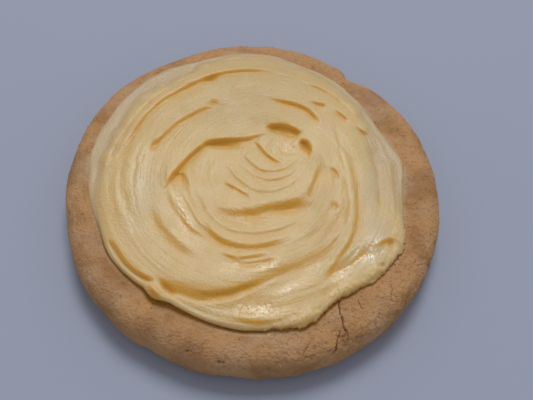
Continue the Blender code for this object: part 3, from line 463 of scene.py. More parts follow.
# The painted shadow of the icing's lip on the crumb, warm ochre as if lit through the icing: its least
# strength, the rise at which it is full, how far it reaches as a share of the rise and a width more, and over
# which width it fades
LIP_SHADOW_LEAST = 0.25
LIP_SHADOW_FULL = 1.6 * MM
LIP_SHADOW_REACH = (0.35, 0.3 * MM)
LIP_SHADOW_FADE = 0.5 * MM

# Mesh density. The segments crowd towards the torn side, where the detail is finest.
SEGMENTS = 720
ICING_RINGS = 126
CRUMB_TOP_RINGS = 28
CRUMB_EDGE_RINGS = 84
CROWD_ANGLE = -50.0
CROWDING = 0.45
CRUMB_DETAIL_FROM = 38.5 * MM
# The shares of the edge's radius at which the icing's underside has its rings
UNDER_RINGS = (1.0, 0.993, 0.985, 0.975, 0.96, 0.9, 0.6, 0.0)
# Points of a turned mesh that are nearer than this are one
JOINED = 0.0005 * MM
# The grid on which the icing's hollows are found
MASK_STEP = 0.22 * MM
MASK_HALF = 48 * MM
# A hollow lies lower than its surroundings: how far they reach, and the difference that counts as 1
EVENED = 0.2 * MM
FINE_HOLLOW = (0.7 * MM, 0.1 * MM)
BROAD_HOLLOW = (2.2 * MM, 0.35 * MM)
# A wall that faces sideways counts less than one that faces the front, in the painted shade of walls
SIDEWAYS_SHARE = 0.3
# Over which width the icing's bare rim gets little painted shade, and how much wider that is on the torn side
BARE_RIM = (1.3 * MM, 1.7 * MM)
BARE_RIM_SHARE = 0.8
# Loose grains lie on the skin from here: beyond the icing, and above the floor
GRAINS_BEYOND = 0.3 * MM
GRAINS_ABOVE = 0.8 * MM
GRAIN_SPREAD = 0.35
GRAIN_STRETCH = (0.6, 1.3)
GRAIN_SUNK = 0.1

# Soft patches of a material: how many to the metre, their detail, and the noise that is none and all of one
Patches = namedtuple("Patches", "scale detail low high")
BROWN_PATCHES = Patches(110, 6, 0.42, 0.68)
PALE_PATCHES = Patches(130, 6, 0.46, 0.68)
BROWN_SPECKS = Patches(900, 4, 0.5, 0.72)
DARKER_FOOT = Patches(240, 4, 0.25, 0.6)
CRUMB_FINE = Patches(1500, 3, 0.3, 0.7)
CRUMB_COARSE = Patches(520, 3, 0.3, 0.7)
WARM_PATCHES = Patches(90, 3, 0.4, 0.75)
SCRAPED_PATCHES = Patches(110, 4, 0.2, 0.6)
FINE_STREAKS = Patches(1300, 3, 0.25, 0.75)
ICING_GRAIN = Patches(1500, 3, 0.3, 0.7)
STREAKY_PATCHES = Patches(120, 2, 0.35, 0.65)
GLINTS = Patches(800, 1, 0.3, 0.7)
SHEEN_PATCHES = Patches(200, 3, 0.4, 0.6)
# The fine streaks' scale: in full across the knife's way, and less along it, so that they are long
STREAK_SCALE = (1.0, 0.12, 0.12)
CRUMB_BUMP = 0.2 * MM
ICING_BUMP = 0.16 * MM
# Colours: a darker foot, what icing's smear and scraping left, painted shadow under the lip and painted shade
# in cracks
DARKER_FOOT_COLOUR = (0.40, 0.165, 0.045, 1)
SMEAR_COLOUR = (0.56, 0.42, 0.27, 1)
LIP_SHADOW_COLOUR = (0.44, 0.18, 0.012, 1)
CRACK_SHADE_COLOUR = (0.15, 0.06, 0.02, 1)
SCRAPED_COLOUR = (0.60, 0.49, 0.30, 1)
SUBSURFACE_RADIUS = (1.0, 0.55, 0.2)
SUBSURFACE_SCALE = 1.7 * MM

# The stage: the window's direction in degrees, distance and size, and the light all round
FLOOR_HALF = 2.0
WINDOW_AZIMUTH = -3
WINDOW_ELEVATION = 61
WINDOW_DISTANCE = 3.0
WINDOW_SIZE = 1.15
SKY_COLOUR = (0.94, 0.96, 1.0, 1)


class CrumbSettings(bpy.types.PropertyGroup):
    """The baked crumb."""

    relief: FloatProperty(name="Relief", description="Share of the skin's dents", default=1.0, min=0)
    colour: FloatVectorProperty(
        name="Crumb", description="Baked skin", subtype="COLOR", size=4, default=(0.52, 0.28, 0.12, 1)
    )
    dark: FloatVectorProperty(
        name="Brown", description="Browner patches", subtype="COLOR", size=4, default=(0.32, 0.15, 0.055, 1)
    )
    pale: FloatVectorProperty(
        name="Pale", description="Paler patches", subtype="COLOR", size=4, default=(0.52, 0.355, 0.22, 1)
    )


class IcingSettings(bpy.types.PropertyGroup):
    """The spread icing."""

    depth: FloatProperty(name="Depth", description="Full depth", default=ICING_DEPTH, unit="LENGTH")
    swirl: FloatProperty(name="Swirl", description="Share of the strokes' relief", default=1.0, min=0)
    colour: FloatVectorProperty(
        name="Icing", description="Icing in the light",
        subtype="COLOR", size=4, default=(0.685, 0.49, 0.218, 1),
    )
    # Painted warm shade of hollows and front walls; a little of it also warms random patches
    hollow: FloatVectorProperty(
        name="Hollows", description="Icing in the hollows",
        subtype="COLOR", size=4, default=(0.705, 0.36, 0.034, 1),
    )
    # Painted shade at the back and top, and a deeper tone on the right
    deeper: FloatVectorProperty(
        name="Deeper", description="Icing at the back",
        subtype="COLOR", size=4, default=(0.545, 0.38, 0.155, 1),
    )
    film: FloatVectorProperty(
        name="Film", description="Thin icing at the edge",
        subtype="COLOR", size=4, default=(0.51, 0.375, 0.21, 1),
    )


class LooseCrumbSettings(bpy.types.PropertyGroup):
    """The grains that stand out of the skin."""

    count: IntProperty(name="Count", description="Number of grains", default=1600, min=0)
    size: FloatProperty(name="Size", description="Mean radius", default=0.15 * MM, unit="LENGTH")


class StageSettings(bpy.types.PropertyGroup):
    """The floor and the lights."""

    floor: FloatVectorProperty(
        name="Floor", description="Pale floor", subtype="COLOR", size=4, default=(0.325, 0.355, 0.455, 1)
    )
    key: FloatProperty(name="Key light", description="Power in watts", default=43.0)
    sky: FloatProperty(name="Sky", description="Strength of the light all round", default=0.43)


def ease(t):
    """0 up to 0, 1 from 1 on, smooth between."""
    t = np.clip(t, 0, 1)
    return t * t * (3 - 2 * t)


def crest(degrees_off, lobes):
    """One lobed wave, 1 on its crest."""
    return np.cos(np.radians(lobes * degrees_off))


def apart(angle, middle):
    """Degrees from the middle, between -180 and 180."""
    return (angle - middle + 180) % 360 - 180


def bulge(angle, middle, half_width):
    """A smooth bump round an angle, 1 in the middle and about a third at its half width."""
    return np.exp(-((apart(angle, middle) / half_width) ** 2))


def rough(x, y, z, size, seed):
    """Smooth noise from -1 to 1 whose bumps are about as wide as size. Each seed is another pattern."""
    cells = 40
    draw = np.random.default_rng(seed)
    table = draw.uniform(-1, 1, (cells, cells, cells))
    turn = np.linalg.qr(draw.normal(size=(3, 3)))[0]
    places = np.stack(np.broadcast_arrays(x, y, z), axis=-1) / size @ turn + 1000
    cell = np.floor(places).astype(int)
    part = places - cell
    part = part * part * part * (part * (part * 6 - 15) + 10)
    total = 0
    for corner in range(8):
        step = np.array([corner & 1, corner >> 1 & 1, corner >> 2 & 1])
        share = np.where(step, part, 1 - part).prod(axis=-1)
        at = (cell + step) % cells
        total = total + share * table[at[..., 0], at[..., 1], at[..., 2]]
    return total


def layers(x, y, z, sizes, seed):
    """Noise of several sizes over each other, given as pairs of size and height."""
    return sum(height * rough(x, y, z, size, seed + number) for number, (size, height) in enumerate(sizes))


def cookie_edge(angle):
    """The cookie's radius at an angle in degrees."""
    radius = COOKIE_RADIUS + sum(height * crest(angle - at, lobes) for lobes, height, at in COOKIE_WAVES)
    off = apart(angle, NICK_ANGLE)
    width = np.where(off < 0, NICK_WIDTHS[0], NICK_WIDTHS[1])
    return radius - NICK_DEPTH * np.exp(-((off / width) ** 2))


def torn_share(angle):
    """1 along the crumbly front right of the icing's edge, 0 elsewhere."""
    return ease((TORN_HALF - np.abs(apart(angle, TORN_ANGLE))) / TORN_FADE + 0.5)


def about_icing(x, y):
    """A place as its angle in degrees and its distance about the icing's own centre."""
    off_x, off_y = x - ICING_CENTRE[0], y - ICING_CENTRE[1]
    return np.degrees(np.arctan2(off_y, off_x)), np.hypot(off_x, off_y)


def even_edge(angle):
    """The icing's radius about its own centre at an angle in degrees, without its small teeth."""
    at, radii = zip(*ICING_EDGE)
    near = [np.interp(angle + step, at, radii, period=360) for step in EDGE_SMOOTHING]
    return sum(near) / len(near) * MM


def icing_edge(angle):
    """The same with the wobble and the teeth of the torn side."""
    radius = even_edge(angle)
    turn = np.radians(angle)
    around_x, around_y = radius * np.cos(turn), radius * np.sin(turn)
    wobble = layers(around_x, around_y, 0, EDGE_WOBBLE, 21)
    return radius + wobble + layers(around_x, around_y, 0, TORN_TEETH, 22) * torn_share(angle)


def edge_rise(angle):
    """How high the icing's rim stands over the crumb."""
    return sum(height * bulge(angle, at, half) for at, half, height in EDGE_RISES)


def crumb_swell(x, y, z):
    """The dents, pores and swells of the bare skin. They die away under the icing."""
    bare = ease((np.hypot(x, y) - BARE_FROM) / BARE_FADE)
    dry = torn_share(np.degrees(np.arctan2(y, x)))
    low = ease(1 - z / FOOT_BAND)
    both = (GRAIN_SHARES, PORE_SHARES)
    grain_share, pore_share = (every + more * dry + foot * low for every, more, foot in both)
    lift = layers(x, y, z, CRUMB_SWELLS, 0) + grain_share * layers(x, y, z, CRUMB_GRAIN, 5)
    lift = lift + low * layers(x, y, z, FOOT_RAGGED, 11)
    pores = ease((rough(x, y, z, PORE_SIZE, 9) - PORE_FROM + PORE_DRY * dry) / PORE_FADE)
    return bare * (lift - PORE_DEPTH * pores * pore_share - HAIR_DEPTH * hair_cracks(x, y, z))


def hair_cracks(x, y, z):
    """1 in the middle of the fine crooked cracks of the dry side, 0 elsewhere."""
    dry = torn_share(np.degrees(np.arctan2(y, x)))
    bent = x + HAIR_BEND[1] * rough(x, y, z, HAIR_BEND[0], 15)
    line = 1 - np.abs(rough(bent, y, z, HAIR_SIZE, 16)) / HAIR_WIDTH
    return ease(line) * ease(0.4 + 1.2 * rough(x, y, z, HAIR_PATCHES, 17)) * dry


def crumb_top(x, y):
    """The height of the crumb's upper skin above the floor, without its dents."""
    radius = np.hypot(x, y)
    turned = radius * COOKIE_RADIUS / cookie_edge(np.degrees(np.arctan2(y, x)))
    flat = COOKIE_RADIUS - EDGE_WIDTH
    height = COOKIE_HEIGHT - DOME_DROP * (turned / COOKIE_RADIUS) ** 2
    over = np.clip((turned - flat) / EDGE_WIDTH, 0, 1)
    fall = 1 - (1 - over**EDGE_FULLNESS) ** (1 / EDGE_FULLNESS)
    return height - (height - EDGE_WAIST) * fall


def smooth_line(points):
    """Close points on a smooth curve that passes through a stroke's own."""
    own = np.array(points) * MM
    padded = np.vstack([2 * own[0] - own[1], own, 2 * own[-1] - own[-2]])
    line = []
    for before, start, end, after in zip(padded, padded[1:], padded[2:], padded[3:]):
        for step in range(STROKE_STEPS):
            t = step / STROKE_STEPS
            bend = 2 * before - 5 * start + 4 * end - after
            twist = 3 * (start - end) + after - before
            line.append(start + 0.5 * t * (end - before + t * (bend + t * twist)))
    return np.array(line + [own[-1]])


def stroke_relief(stroke, x, y):
    """How much one stroke raises the icing: the mean of its short pieces, where near ones count most."""
    line = smooth_line(stroke.points)
    ways = np.diff(line, axis=0)
    lengths = np.hypot(*ways.T)
    passed = np.concatenate([[0], np.cumsum(lengths)])
    margin = 4 * max(stroke.reach_left, stroke.reach_right) * MM
    low, high = line.min(axis=0) - margin, line.max(axis=0) + margin
    near = (x > low[0]) & (x < high[0]) & (y > low[1]) & (y < high[1])
    near_x, near_y = x[near], y[near]
    total = np.zeros(near_x.shape)
    weights = np.zeros(near_x.shape)
    for start, way, length, before in zip(line, ways, lengths, passed):
        off_x, off_y = near_x - start[0], near_y - start[1]
        share = np.clip((off_x * way[0] + off_y * way[1]) / length**2, 0, 1)
        gap_x, gap_y = off_x - share * way[0], off_y - share * way[1]
        gap = np.hypot(gap_x, gap_y)
        left = np.sign(way[0] * gap_y - way[1] * gap_x) * gap
        lean = 0.5 + 0.5 * np.tanh(left / (stroke.face * MM))
        rise_left = stroke.left * np.exp(-np.maximum(left, 0) / (stroke.reach_left * MM))
        rise_right = stroke.right * np.exp(np.minimum(left, 0) / (stroke.reach_right * MM))
        along = (before + share * length) / passed[-1]
        window = ease(along / stroke.taper[0]) * ease((1 - along) / stroke.taper[1])
        closeness = 1 / (gap**2 + STROKE_BLEND**2)
        weight = length * closeness * closeness * closeness
        total += weight * window * (lean * rise_left + (1 - lean) * rise_right)
        weights += weight
    relief = np.zeros(np.shape(x))
    relief[near] = total / weights * MM
    return relief


def dab_share(dab, x, y):
    """A soft oval bump as high as the dab's rise."""
    turn = math.radians(dab.turn)
    off_x = x - dab.place[0] * MM
    off_y = y - dab.place[1] * MM
    along = (off_x * math.cos(turn) + off_y * math.sin(turn)) / (dab.size[0] * MM)
    across = (off_y * math.cos(turn) - off_x * math.sin(turn)) / (dab.size[1] * MM)
    return dab.rise * np.exp(-(along**2) - across**2)


def dabs_share(dabs, x, y):
    """Several dabs together."""
    return sum(dab_share(dab, x, y) for dab in dabs)


def film_width(angle, x, y):
    """How broad the thin film at the icing's edge is."""
    at, width = zip(*FILM_WIDTHS)
    return np.interp(angle, at, width) * MM * (1 + FILM_WAVER[1] * rough(x, y, 0, FILM_WAVER[0], 25))


def flow(x, y):
    """Coordinates that follow the knife round the swirl: distance from its middle, and two round it."""
    off_x, off_y = x - FLOW_EYE[0], y - FLOW_EYE[1]
    shift_x = (FLOW_WHOLE[0] - FLOW_EYE[0]) / FLOW_FULL
    shift_y = (FLOW_WHOLE[1] - FLOW_EYE[1]) / FLOW_FULL
    # The circle through the place, whose middle moves from the eye as its radius grows
    along = off_x * shift_x + off_y * shift_y
    spare = 1 - shift_x**2 - shift_y**2
    near = (np.sqrt(along**2 + spare * (off_x**2 + off_y**2)) - along) / spare
    radius = np.where(near < FLOW_FULL, near, np.hypot(x - FLOW_WHOLE[0], y - FLOW_WHOLE[1]))
    share = np.minimum(radius / FLOW_FULL, 1)
    turn = np.arctan2(off_y - share * shift_y * FLOW_FULL, off_x - share * shift_x * FLOW_FULL)
    round_it = np.minimum(FLOW_ROUND, radius)
    return radius, round_it * np.cos(turn), round_it * np.sin(turn)


def streak_relief(x, y):
    """Low ridges that follow the knife, stronger in some places than in others."""
    radius, round_x, round_y = flow(x, y)
    radius = radius + layers(x, y, 0, STREAK_WAVER, 30)
    size, mean, change = STREAK_PATCHES
    strength = mean + change * rough(x, y, 0, size, 31) + dabs_share(STREAKY, x, y)
    ridges = layers(radius, round_x / STREAK_LENGTH, round_y / STREAK_LENGTH, STREAKS, 32)
    return ridges * np.clip(strength, *STREAK_LIMITS)


def wrinkle_relief(x, y):
    """Fine wrinkles across the knife's way, where the icing stuck to it."""
    bent_x = x + layers(x, y, 0, WRINKLE_BEND, 37)
    bent_y = y + layers(x, y, 0, WRINKLE_BEND, 38)
    folds = rough(bent_x, bent_y * WRINKLE_STRETCH, 0, WRINKLE_SIZE, 39)
    return dabs_share(WRINKLES, x, y) * MM * (1 - 2 * np.hypot(folds, WRINKLE_SOFTNESS))


def icing_depth(x, y, depth, swirl):
    """How thick the icing is at a place inside its edge."""
    angle, out = about_icing(x, y)
    inside = np.maximum(even_edge(angle) - out, 0)
    film = film_width(angle, x, y)
    # The icing rises softly from a broad film, and at once where there is none
    broad = ease(film / FILM_BROAD)
    soft = FILM_SOFTNESS * broad
    within = np.hypot(np.maximum(inside - film, 0), soft) - soft
    rise = edge_rise(angle)
    body = (depth - rise - FILM_DEPTH) * (1 - np.exp(-within / ICING_SLOPE))
    start, end = SHOULDER_WIDTHS
    shoulder = SHOULDER * broad * (1 - np.exp(-within / start)) * np.exp(-within / end)
    lip = rise * (LIP_START + (1 - LIP_START) * ease(inside / LIP_ROUND))
    relief = sum(stroke_relief(stroke, x, y) for stroke in STROKES) + dabs_share(DABS, x, y) * MM
    relief = relief + streak_relief(x, y) + wrinkle_relief(x, y)
    torn = torn_share(angle) * np.exp(-((inside / TORN_REACH) ** 2))
    edge = ease(inside / RIM_WIDTH)
    thick = FILM_DEPTH * (RIM_SHARE + (1 - RIM_SHARE) * edge) + body + shoulder + lip
    lumps = layers(x, y, 0, TORN_LUMPS, 41) * torn * edge
    thick = thick + swirl * relief * ease(within / SETTLE_WIDTH) + lumps
    return np.maximum(thick, FILM_DEPTH * (RIM_SHARE + (LEAST_SHARE - RIM_SHARE) * edge) + 0.5 * lip)


def icing_foot(x, y):
    """The underside's height over the crumb: sunk into it, but standing off it under the lip's rim."""
    angle, out = about_icing(x, y)
    inside = np.maximum(even_edge(angle) - out, 0)
    gap = edge_rise(angle) * sum(share * bulge(angle, at, half) for at, half, share in LIP_GAPS)
    return gap * np.exp(-((inside / LIP_REACH) ** 2)) - FOOT_SUNK[0] - FOOT_SUNK[1] * ease(inside / LIP_REACH)


def points_of(mesh):
    """The mesh's vertices as an array with a row for each."""
    found = np.empty(len(mesh.vertices) * 3)
    mesh.vertices.foreach_get("co", found)
    return found.reshape(-1, 3)


def move_points(mesh, points):
    """Puts the mesh's vertices at new places."""
    mesh.vertices.foreach_set("co", points.ravel())
    mesh.update()


def note(mesh, name, values):
    """Keeps a number for each vertex, for the material to read."""
    made = mesh.attributes.new(name, "FLOAT", "POINT")
    made.data.foreach_set("value", np.asarray(values, dtype=np.float32).ravel())


def note_vector(mesh, name, values):
    """Keeps three numbers for each vertex, for the material to read."""
    made = mesh.attributes.new(name, "FLOAT_VECTOR", "POINT")
    made.data.foreach_set("vector", np.stack(values, axis=1).astype(np.float32).ravel())


def turned_mesh(name, profile, segments):
    """A closed body about +Z: a grid rolled up along a profile that starts and ends on the axis."""
    shape = bmesh.new()
    bmesh.ops.create_grid(shape, x_segments=segments, y_segments=len(profile) - 1, size=1)
    mesh = bpy.data.meshes.new(name)
    shape.to_mesh(mesh)
    points = points_of(mesh)
    turn = math.pi * points[:, 0]
    ring = (1 - points[:, 1]) / 2 * (len(profile) - 1)
    radii, heights = (np.interp(ring, np.arange(len(profile)), values) for values in zip(*profile))
    move_points(mesh, np.stack([radii * np.cos(turn), radii * np.sin(turn), heights], axis=1))
    # The seam and the two poles are closed here
    shape.clear()
    shape.from_mesh(mesh)
    bmesh.ops.remove_doubles(shape, verts=shape.verts, dist=JOINED)
    bmesh.ops.recalc_face_normals(shape, faces=shape.faces)
    shape.to_mesh(mesh)
    shape.free()
    return mesh


def crowd(turn):
    """Moves angles in radians towards the torn side, so that the mesh is finer there."""
    middle = math.radians(CROWD_ANGLE)
    return turn - CROWDING * np.sin(turn - middle)


def crumb_profile():
    """The crumb's half section, from the middle of its top round the edge to the middle of its foot."""
    flat = COOKIE_RADIUS - EDGE_WIDTH
    power = 2 / EDGE_FULLNESS
    points = [(0, COOKIE_HEIGHT), (flat * 0.4, COOKIE_HEIGHT), (flat * 0.7, COOKIE_HEIGHT)]
    for ring in range(CRUMB_TOP_RINGS):
        share = ring / CRUMB_TOP_RINGS
        points.append((CRUMB_DETAIL_FROM + (flat - CRUMB_DETAIL_FROM) * share, COOKIE_HEIGHT))
    for ring in range(CRUMB_EDGE_RINGS + 1):
        turn = math.pi / 2 - math.pi * ring / CRUMB_EDGE_RINGS
        out = max(math.cos(turn), 0) ** power
        up = math.sin(turn)
        if up >= 0:
            points.append((flat + EDGE_WIDTH * out, EDGE_WAIST + (COOKIE_HEIGHT - EDGE_WAIST) * up**power))
        else:
            points.append((COOKIE_RADIUS - FOOT_INSET * (1 - out), EDGE_WAIST * (1 - (-up) ** power)))
    foot = points[-1][0]
    return points + [(foot * 0.6, 0.0), (0.0, 0.0)]


def distance_to_line(x, y, points):
    """The distance from each place to a bent line, and how far along it the nearest point lies, 0 to 1."""
    nearest = np.full(np.shape(x), 1e9)
    along_all = np.zeros(np.shape(x))
    pieces = len(points) - 1
    for number, (start, end) in enumerate(zip(points, points[1:])):
        start, end = np.array(start) * MM, np.array(end) * MM
        way = end - start
        share = np.clip(((x - start[0]) * way[0] + (y - start[1]) * way[1]) / (way @ way), 0, 1)
        gap = np.hypot(x - start[0] - share * way[0], y - start[1] - share * way[1])
        closer = gap < nearest
        nearest = np.where(closer, gap, nearest)
        along_all = np.where(closer, (number + share) / pieces, along_all)
    return nearest, along_all


def crack_relief(x, y):
    """How deep the cracks and pits cut at each place, as a negative height, and a mask of them."""
    cut = np.zeros(np.shape(x))
    mask = np.zeros(np.shape(x))
    bent_x = x + layers(x, y, 0, CRACK_BEND, 51)
    bent_y = y + layers(x, y, 0, CRACK_BEND, 52)
    for crack in CRACKS:
        gap, along = distance_to_line(bent_x, bent_y, crack.points)
        # A crack narrows towards both of its ends, and unevenly
        width = crack.width * MM * (0.35 + 0.65 * np.sin(np.pi * np.clip(along, 0.06, 0.94)))
        width = width * (1 + CRACK_WIDTHS[1] * rough(x, y, 0, CRACK_WIDTHS[0], 53))
        here = np.exp(-((gap / width) ** 2))
        cut = cut - crack.depth * MM * CRACK_SHARE * here
        mask = np.maximum(mask, here)
    for place, radius in PITS:
        gap = np.hypot(bent_x - place[0] * MM, PIT_STRETCH * (bent_y - place[1] * MM)) / (radius * MM)
        here = np.exp(-(gap**2))
        cut = cut - radius * MM * PIT_SHARE * here
        mask = np.maximum(mask, 0.8 * here)
    return cut, mask


def smear_share(x, y, beyond):
    """How much of the thinnest film lies on the crumb just outside the icing."""
    angle = np.degrees(np.arctan2(y, x))
    patchy = ease(0.5 + 1.6 * rough(x, y, 0, SMEAR_PATCHES, 54))
    beyond_line, line_width, middle, half_width = SMEAR_LINE
    line = np.exp(-(((beyond - beyond_line) / line_width) ** 2)) * bulge(angle, middle, half_width)
    return np.clip(SMEAR_SHARE * patchy * ease(1 - beyond / SMEAR_WIDTH) + line, 0, 1)


def lip_shadow_share(x, y, beyond):
    """How much painted shadow, warm ochre as if lit through the icing, the icing's lip lays on the crumb."""
    rise = edge_rise(about_icing(x, y)[0])
    strength = np.clip(LIP_SHADOW_LEAST + rise / LIP_SHADOW_FULL, 0, 1)
    return strength * ease((LIP_SHADOW_REACH[0] * rise + LIP_SHADOW_REACH[1] - beyond) / LIP_SHADOW_FADE)


def make_crumb(settings):
    """The baked crumb with its dents, pores, cracks and nick."""
    mesh = turned_mesh("baked_crumb", crumb_profile(), SEGMENTS)
    points = points_of(mesh)
    turned = np.hypot(points[:, 0], points[:, 1])
    turn = crowd(np.arctan2(points[:, 1], points[:, 0]))
    spread = cookie_edge(np.degrees(turn)) / COOKIE_RADIUS
    x, y, z = turned * spread * np.cos(turn), turned * spread * np.sin(turn), points[:, 2]
    upper = ease((z - EDGE_WAIST) / (COOKIE_HEIGHT - EDGE_WAIST))
    z = z - DOME_DROP * (turned / COOKIE_RADIUS) ** 2 * upper
    # The way out of the skin: up on the top, sideways round the edge
    tilt = np.clip((z - EDGE_WAIST) / (COOKIE_HEIGHT - EDGE_WAIST), 0, 1) ** 2
    skin = ease(z / (2 * MM))
    swell = settings.relief * crumb_swell(x, y, z) * skin
    cut, mask = crack_relief(x, y)
    cut = cut * (z > EDGE_WAIST)
    lift = swell + cut
    out = np.sqrt(1 - tilt**2)
    x, y = x + lift * out * np.cos(turn), y + lift * out * np.sin(turn)
    z = np.maximum(z + lift * np.maximum(tilt, 0.0), 0)
    move_points(mesh, np.stack([x, y, z], axis=1))
    angle, out_of_icing = about_icing(x, y)
    beyond = out_of_icing - icing_edge(angle)
    note(mesh, "smear", smear_share(x, y, beyond))
    # Painted shadow of the icing's lip on the crumb
    note(mesh, "lip_shadow", lip_shadow_share(x, y, beyond))
    # Where painted shade darkens the cracks, pits and hair cracks
    note(mesh, "crack", np.maximum(mask, 0.4 * hair_cracks(x, y, z)) * (z > 1 * MM))
    note(mesh, "height", z / COOKIE_HEIGHT)
    return finish_piece("baked_crumb", mesh, crumb_material(settings), "baked_crumb", "cookie")


def make_icing(settings):
    """The icing with the knife's strokes, its thin film and its torn edge."""
    top = [(ring / ICING_RINGS, 1.0) for ring in range(ICING_RINGS + 1)]
    under = [(share, -1.0) for share in UNDER_RINGS]
    mesh = turned_mesh("spread_icing", top + under, SEGMENTS)
    points = points_of(mesh)
    turn = crowd(np.arctan2(points[:, 1], points[:, 0]))
    radius = np.hypot(points[:, 0], points[:, 1]) * icing_edge(np.degrees(turn))
    x = ICING_CENTRE[0] + radius * np.cos(turn)
    y = ICING_CENTRE[1] + radius * np.sin(turn)
    floor = crumb_top(x, y)
    thick = icing_depth(x, y, settings.depth, settings.swirl)
    over = points[:, 2] > 0
    z = floor + np.where(over, thick, icing_foot(x, y))
    move_points(mesh, np.stack([x, y, z], axis=1))
    fine, broad, front_wall_shade = surface_masks(x, y, settings)
    # Masks for the painted shade of hollows and of walls that face the front
    note(mesh, "hollow", np.where(over, fine, 0.5))
    note(mesh, "broad_hollow", np.where(over, broad, 0.5))
    # The rim lies bare to the light all round, and the torn side's whole edge does, so little painted shade
    # lies there
    angle, out = about_icing(x, y)
    inside = even_edge(angle) - out
    bare = np.exp(-((inside / (BARE_RIM[0] + BARE_RIM[1] * torn_share(angle))) ** 2))
    note(mesh, "front_wall_shade", np.where(over, front_wall_shade * (1 - BARE_RIM_SHARE * bare), 0))
    note(mesh, "thick", thick / MM)
    note(mesh, "pale", dabs_share(PALE, x, y))
    # Painted shade at the back and top, and a deeper tone on the right
    note(mesh, "deeper", dabs_share(BACK_SHADE_AND_DEEPER, x, y))
    note(mesh, "wet", dabs_share(WET, x, y))
    note_vector(mesh, "flow", flow(x, y))
    return finish_piece("spread_icing", mesh, icing_material(settings), "lemon_icing", "icing")


def surface_masks(x, y, settings):
    """How hollow the icing is, on a fine and on a broad scale, and how steeply it faces the front, for the
    painted shade.
    """
    step = MASK_STEP
    across = np.arange(-MASK_HALF, MASK_HALF, step)
    grid_x, grid_y = np.meshgrid(across, across, indexing="ij")
    height = icing_depth(grid_x, grid_y, settings.depth, settings.swirl)
    waves = np.fft.rfft2(height)
    rate = np.fft.fftfreq(len(across), step)[:, None] ** 2 + np.fft.rfftfreq(len(across), step)[None] ** 2

    def blurred(size):
        return np.fft.irfft2(waves * np.exp(-2 * (math.pi * size) ** 2 * rate), s=height.shape)

    even = blurred(EVENED)
    fine, broad = ((blurred(size) - even) / full for size, full in (FINE_HOLLOW, BROAD_HOLLOW))
    slope_x, slope_y = np.gradient(even, step)
    front_wall_shade = slope_y + SIDEWAYS_SHARE * np.abs(slope_x)
    at_x, at_y = (x + MASK_HALF) / step, (y + MASK_HALF) / step
    cell_x, cell_y = at_x.astype(int), at_y.astype(int)
    part_x, part_y = at_x - cell_x, at_y - cell_y

    def sampled(field):
        low = field[cell_x, cell_y] * (1 - part_y) + field[cell_x, cell_y + 1] * part_y
        high = field[cell_x + 1, cell_y] * (1 - part_y) + field[cell_x + 1, cell_y + 1] * part_y
        return low * (1 - part_x) + high * part_x

    return sampled(fine), sampled(broad), sampled(front_wall_shade)


def finish_piece(name, mesh, material, slot, *nodes):
    """Makes an object of the mesh, shaded smooth, that stands for its solid."""
    mesh.materials.append(material)
    mesh.shade_smooth()
    piece = bpy.data.objects.new(name, mesh)
    bpy.context.scene.collection.objects.link(piece)
    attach(piece, BODY)
    if nodes:
        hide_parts(*nodes)
    return piece


def make_loose_crumbs(settings, crumb_settings):
    """Small grains that stand out of the skin, denser on the edge and by the torn icing."""
    draw = np.random.default_rng(7)
    skin = bpy.data.objects["baked_crumb"].data
    points = points_of(skin)
    normals = np.empty(len(skin.vertices) * 3)
    skin.vertices.foreach_get("normal", normals)
    normals = normals.reshape(-1, 3)
    angle, out = about_icing(points[:, 0], points[:, 1])
    bare = (out - icing_edge(angle) > GRAINS_BEYOND) & (points[:, 2] > GRAINS_ABOVE)
    weight = bare * (0.35 + 1.4 * torn_share(angle))
    weight = weight * (1 + 0.9 * rough(*points.T, 5 * MM, 61))
    # The mesh is denser on the torn side, so a point there stands for less skin
    weight = weight * (1 - CROWDING * np.cos(np.radians(angle - CROWD_ANGLE)))
    chosen = draw.choice(len(points), settings.count, p=weight / weight.sum())
    sizes = settings.size * draw.lognormal(0, GRAIN_SPREAD, settings.count)
    places = points[chosen] - GRAIN_SUNK * sizes[:, None] * normals[chosen]
    mesh = lumps_mesh("loose_crumbs", places, sizes, draw)
    note(mesh, "height", np.ones(len(mesh.vertices)))
    material = crumb_material(crumb_settings)
    return finish_piece("loose_crumbs", mesh, material, "baked_crumb")


def lumps_mesh(name, places, sizes, draw):
    """One mesh of many small rounded lumps."""
    lump = bmesh.new()
    bmesh.ops.create_icosphere(lump, subdivisions=1, radius=1.0)
    corners = np.array([vert.co for vert in lump.verts])
    faces = np.array([[vert.index for vert in face.verts] for face in lump.faces])
    lump.free()
    count = len(places)
    shapes = corners * draw.uniform(*GRAIN_STRETCH, (count, len(corners), 1)) * sizes[:, None, None]
    shapes = shapes + places[:, None]
    order = faces[None] + (np.arange(count) * len(corners))[:, None, None]
    mesh = bpy.data.meshes.new(name)
    mesh.from_pydata(shapes.reshape(-1, 3), [], order.reshape(-1, 3))
    mesh.update()
    return mesh


def socket(group, name, kind, way):
    """Adds a named input or output to a shader node group."""
    group.interface.new_socket(name, in_out=way, socket_type=kind)


def node(tree, kind, **settings):
    """Adds a shader node, sets its properties, and its inputs where a name is one of them."""
    made = tree.nodes.new(kind)
    for name, value in settings.items():
        if hasattr(made, name):
            setattr(made, name, value)
        else:
            made.inputs[name.replace("_", " ")].default_value = value
    return made


